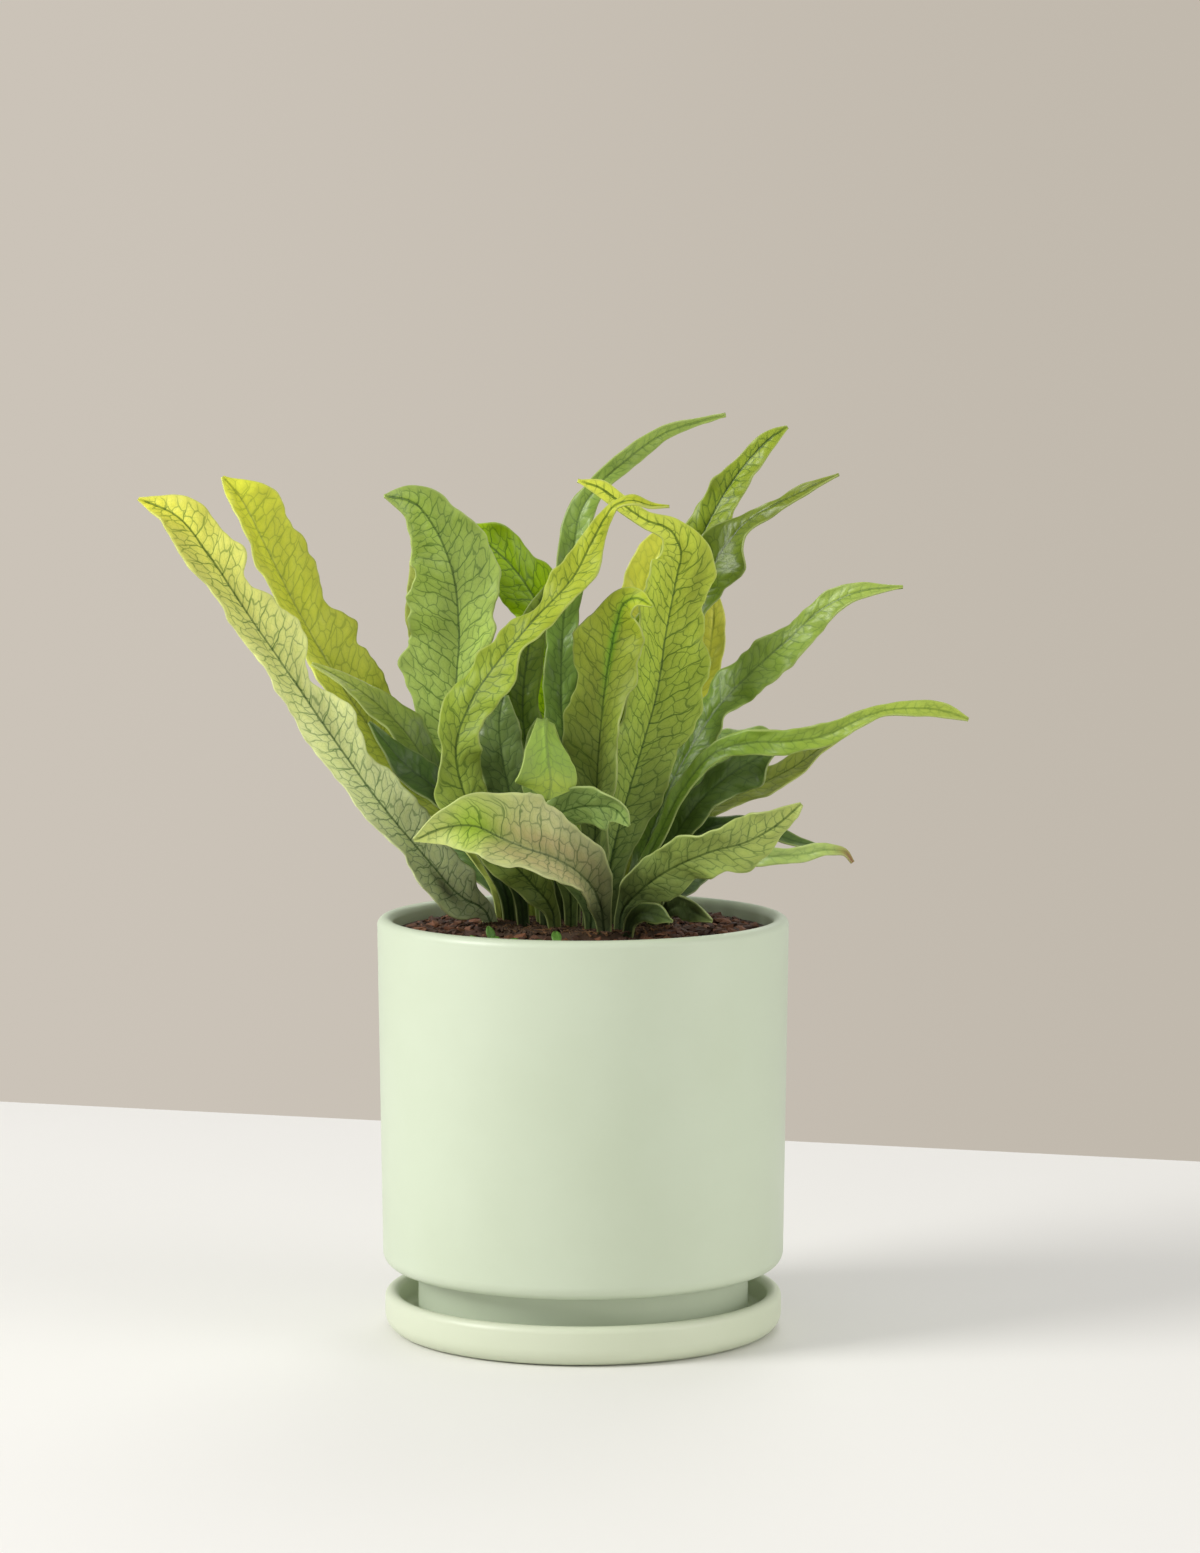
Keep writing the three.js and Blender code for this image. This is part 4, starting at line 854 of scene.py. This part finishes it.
# Seedlings: small young leaves that stand on the soil between the fronds. Each is a place on the
# soil, a heading and a lean in degrees, a length and a width
SEEDLINGS = [
    (-40, -52, 200, 35, 7.0, 3.8), (-35, -54, 95, 40, 7.2, 3.4), (-31, -52, 20, 40, 6.0, 3.6),
    (-36, -49, 130, 15, 8.2, 3.8), (-10, -56, 100, 30, 8.5, 3.6), (-6, -57, 40, 60, 6.5, 2.6),
    (-14, -54, 150, 55, 8.5, 2.4), (28, 58, 80, 30, 6.0, 3.6), (34, 55, 20, 40, 5.4, 3.2),
]
SEEDLING_STEPS = 8
SEEDLING_THICKNESS = 0.4
STALK_WIDTH = 0.5
STALK_SHARE = 0.15


def make_seedlings(material):
    """Small oval leaves, cupped along their length, each on a short stalk."""
    bm = bmesh.new()
    for x, y, heading, lean, length, width in SEEDLINGS:
        way = Vector((math.cos(math.radians(heading)), math.sin(math.radians(heading)), 0))
        sideways = Vector((-way.y, way.x, 0))
        leaf = bmesh.ops.create_grid(bm, x_segments=4, y_segments=SEEDLING_STEPS, size=1)
        for vert in leaf["verts"]:
            u = vert.co.x
            t = (vert.co.y + 1) / 2
            rise = math.radians(90 - lean * (0.5 + t))
            upward = way * math.cos(rise) + Vector((0, 0, math.sin(rise)))
            share = min(1, max(0, t - STALK_SHARE) / (1 - STALK_SHARE))
            half = STALK_WIDTH / 2 + width / 2 * math.sin(math.pi * share) ** 0.7
            cup = Vector((0, 0, 0.5 * abs(u)))
            vert.co = (Vector((x, y, SOIL_TOP)) + upward * length * t + sideways * half * u + cup) * MM
    bmesh.ops.recalc_face_normals(bm, faces=bm.faces)
    bmesh.ops.solidify(bm, geom=list(bm.faces), thickness=SEEDLING_THICKNESS * MM)
    bmesh.ops.recalc_face_normals(bm, faces=bm.faces)
    for face in bm.faces:
        face.smooth = True
    return new_piece("seedlings", bm, [material])


def seedling_material():
    """Fresh green of young leaves, a little uneven."""
    material, tree, skin = new_material("seedling")
    place = add_node(tree, "ShaderNodeTexCoord").outputs["Object"]
    cloud = noise(tree, place, 500.0, 3.0)
    tree.links.new(mix(tree, cloud, rgba(0x3f6a22), rgba(0x6a9440)), skin.inputs["Base Color"])
    skin.inputs["Roughness"].default_value = 0.45
    return material


# Table and light: a pale table top whose far edge runs a little aslant, before a beige wall
TABLE_EDGE_PLACE = (-5, 482)
TABLE_EDGE_TURN = -16.5
TABLE_SIZE = 5000


def make_table():
    bm = bmesh.new()
    bmesh.ops.create_grid(bm, x_segments=1, y_segments=1, size=TABLE_SIZE / 2 * MM)
    bmesh.ops.translate(bm, vec=(0, -TABLE_SIZE / 2 * MM, 0), verts=bm.verts)
    turn = Matrix.Rotation(math.radians(TABLE_EDGE_TURN), 3, "Z")
    bmesh.ops.rotate(bm, verts=bm.verts, cent=(0, 0, 0), matrix=turn)
    bmesh.ops.translate(bm, vec=Vector((*TABLE_EDGE_PLACE, 0)) * MM, verts=bm.verts)
    mesh = bpy.data.meshes.new("table_top")
    bm.to_mesh(mesh)
    bm.free()
    table = bpy.data.objects.new("table_top", mesh)
    bpy.context.scene.collection.objects.link(table)
    material, tree, skin = new_material("table")
    place = add_node(tree, "ShaderNodeTexCoord").outputs["Object"]
    cloud = noise(tree, place, 3.0, 4.0)
    colour = mix(tree, cloud, (0.85, 0.84, 0.815, 1), (0.82, 0.81, 0.785, 1))
    tree.links.new(colour, skin.inputs["Base Color"])
    tree.links.new(maths(tree, "MULTIPLY_ADD", cloud, 0.1, 0.55), skin.inputs["Roughness"])
    mesh.materials.append(material)


def soft_light(name, place, target, size, power, rgb):
    lamp = bpy.data.lights.new(name, "AREA")
    lamp.shape = "DISK"
    lamp.size = size
    lamp.energy = power
    lamp.color = rgb
    holder = bpy.data.objects.new(name, lamp)
    holder.location = place
    holder.rotation_euler = (Vector(target) - Vector(place)).to_track_quat("-Z", "Y").to_euler()
    bpy.context.scene.collection.objects.link(holder)


def light_scene():
    soft_light("window light", (-1.85, -0.75, 1.3), (0, 0, 0.2), 1.1, 42, (1.0, 0.99, 0.97))
    soft_light("fill light", (2.0, -1.0, 0.8), (0, 0, 0.2), 1.6, 18, (1.0, 0.98, 0.95))
    soft_light("back light", (0.4, 1.6, 1.7), (0, 0, 0.25), 1.2, 8, (1.0, 0.99, 0.97))
    world = bpy.data.worlds.new("studio")
    bpy.context.scene.world = world
    world.use_nodes = True
    tree = world.node_tree
    ambient = tree.nodes["Background"]
    ambient.inputs["Color"].default_value = (1.0, 0.985, 0.96, 1)
    ambient.inputs["Strength"].default_value = 0.52
    # The wall behind, seen only by the camera: painted light, paler on the left where the window light
    # falls and darker to the right
    wall = tree.nodes.new("ShaderNodeBackground")
    way = add_node(tree, "ShaderNodeTexCoord").outputs["Generated"]
    way_right = add_node(tree, "ShaderNodeSeparateXYZ", {0: way}).outputs[0]
    painted_wall_falloff = ramp(tree, way_right, -0.14, 0.14)
    tree.links.new(mix(tree, painted_wall_falloff, rgba(0xcbc3b8), rgba(0xc1b9ad)), wall.inputs["Color"])
    either = tree.nodes.new("ShaderNodeMixShader")
    ray = tree.nodes.new("ShaderNodeLightPath")
    tree.links.new(ray.outputs["Is Camera Ray"], either.inputs[0])
    tree.links.new(ambient.outputs[0], either.inputs[1])
    tree.links.new(wall.outputs[0], either.inputs[2])
    tree.links.new(either.outputs[0], tree.nodes["World Output"].inputs["Surface"])


def set_camera():
    camera = bpy.data.cameras.new("camera")
    camera.sensor_fit = "VERTICAL"
    camera.sensor_height = 24
    camera.lens = FOCAL_PIXELS / IMAGE_HEIGHT * camera.sensor_height
    camera.clip_end = 30
    holder = bpy.data.objects.new("camera", camera)
    holder.location = Vector(CAMERA_PLACE) * MM
    holder.rotation_euler = (math.radians(90 + CAMERA_PITCH), 0, 0)
    bpy.context.scene.collection.objects.link(holder)
    bpy.context.scene.camera = holder
    bpy.context.scene.view_settings.view_transform = "Standard"


set_camera()
light_scene()
make_table()

glaze = glaze_material("mint glaze", 0xc6d1ba, 0xc3ceb6)
make_pot(glaze)
make_saucer(glaze_material("saucer glaze", 0xced5bd, 0xcbd3b9))

bark = bark_material("bark", 0x2a1810, 0x7a4e34)
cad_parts["soil"].data.materials.clear()
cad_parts["soil"].data.materials.append(bark)
make_crumbs(bark)
scale_skin = bark_material("rhizome scales", 0x2c1c10, 0x6b4a28)
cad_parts["rhizome"].data.materials.clear()
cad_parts["rhizome"].data.materials.append(scale_skin)
make_scales(scale_skin)
make_seedlings(seedling_material())

relief = relief_group()
colour = colour_group()
margin = margin_material()
skins = {}
for family, (front, other, wash) in FAMILIES.items():
    other_face = "glossy" if other[0] > front[0] else "matt"
    skins[family] = [blade_material(f"{family} blade", colour, None, *front),
                     blade_material(f"{family} blade, {other_face} face", colour, wash, *other), margin]
for index, frond in enumerate(FRONDS):
    make_blade(frond, index, relief, skins[frond.family])
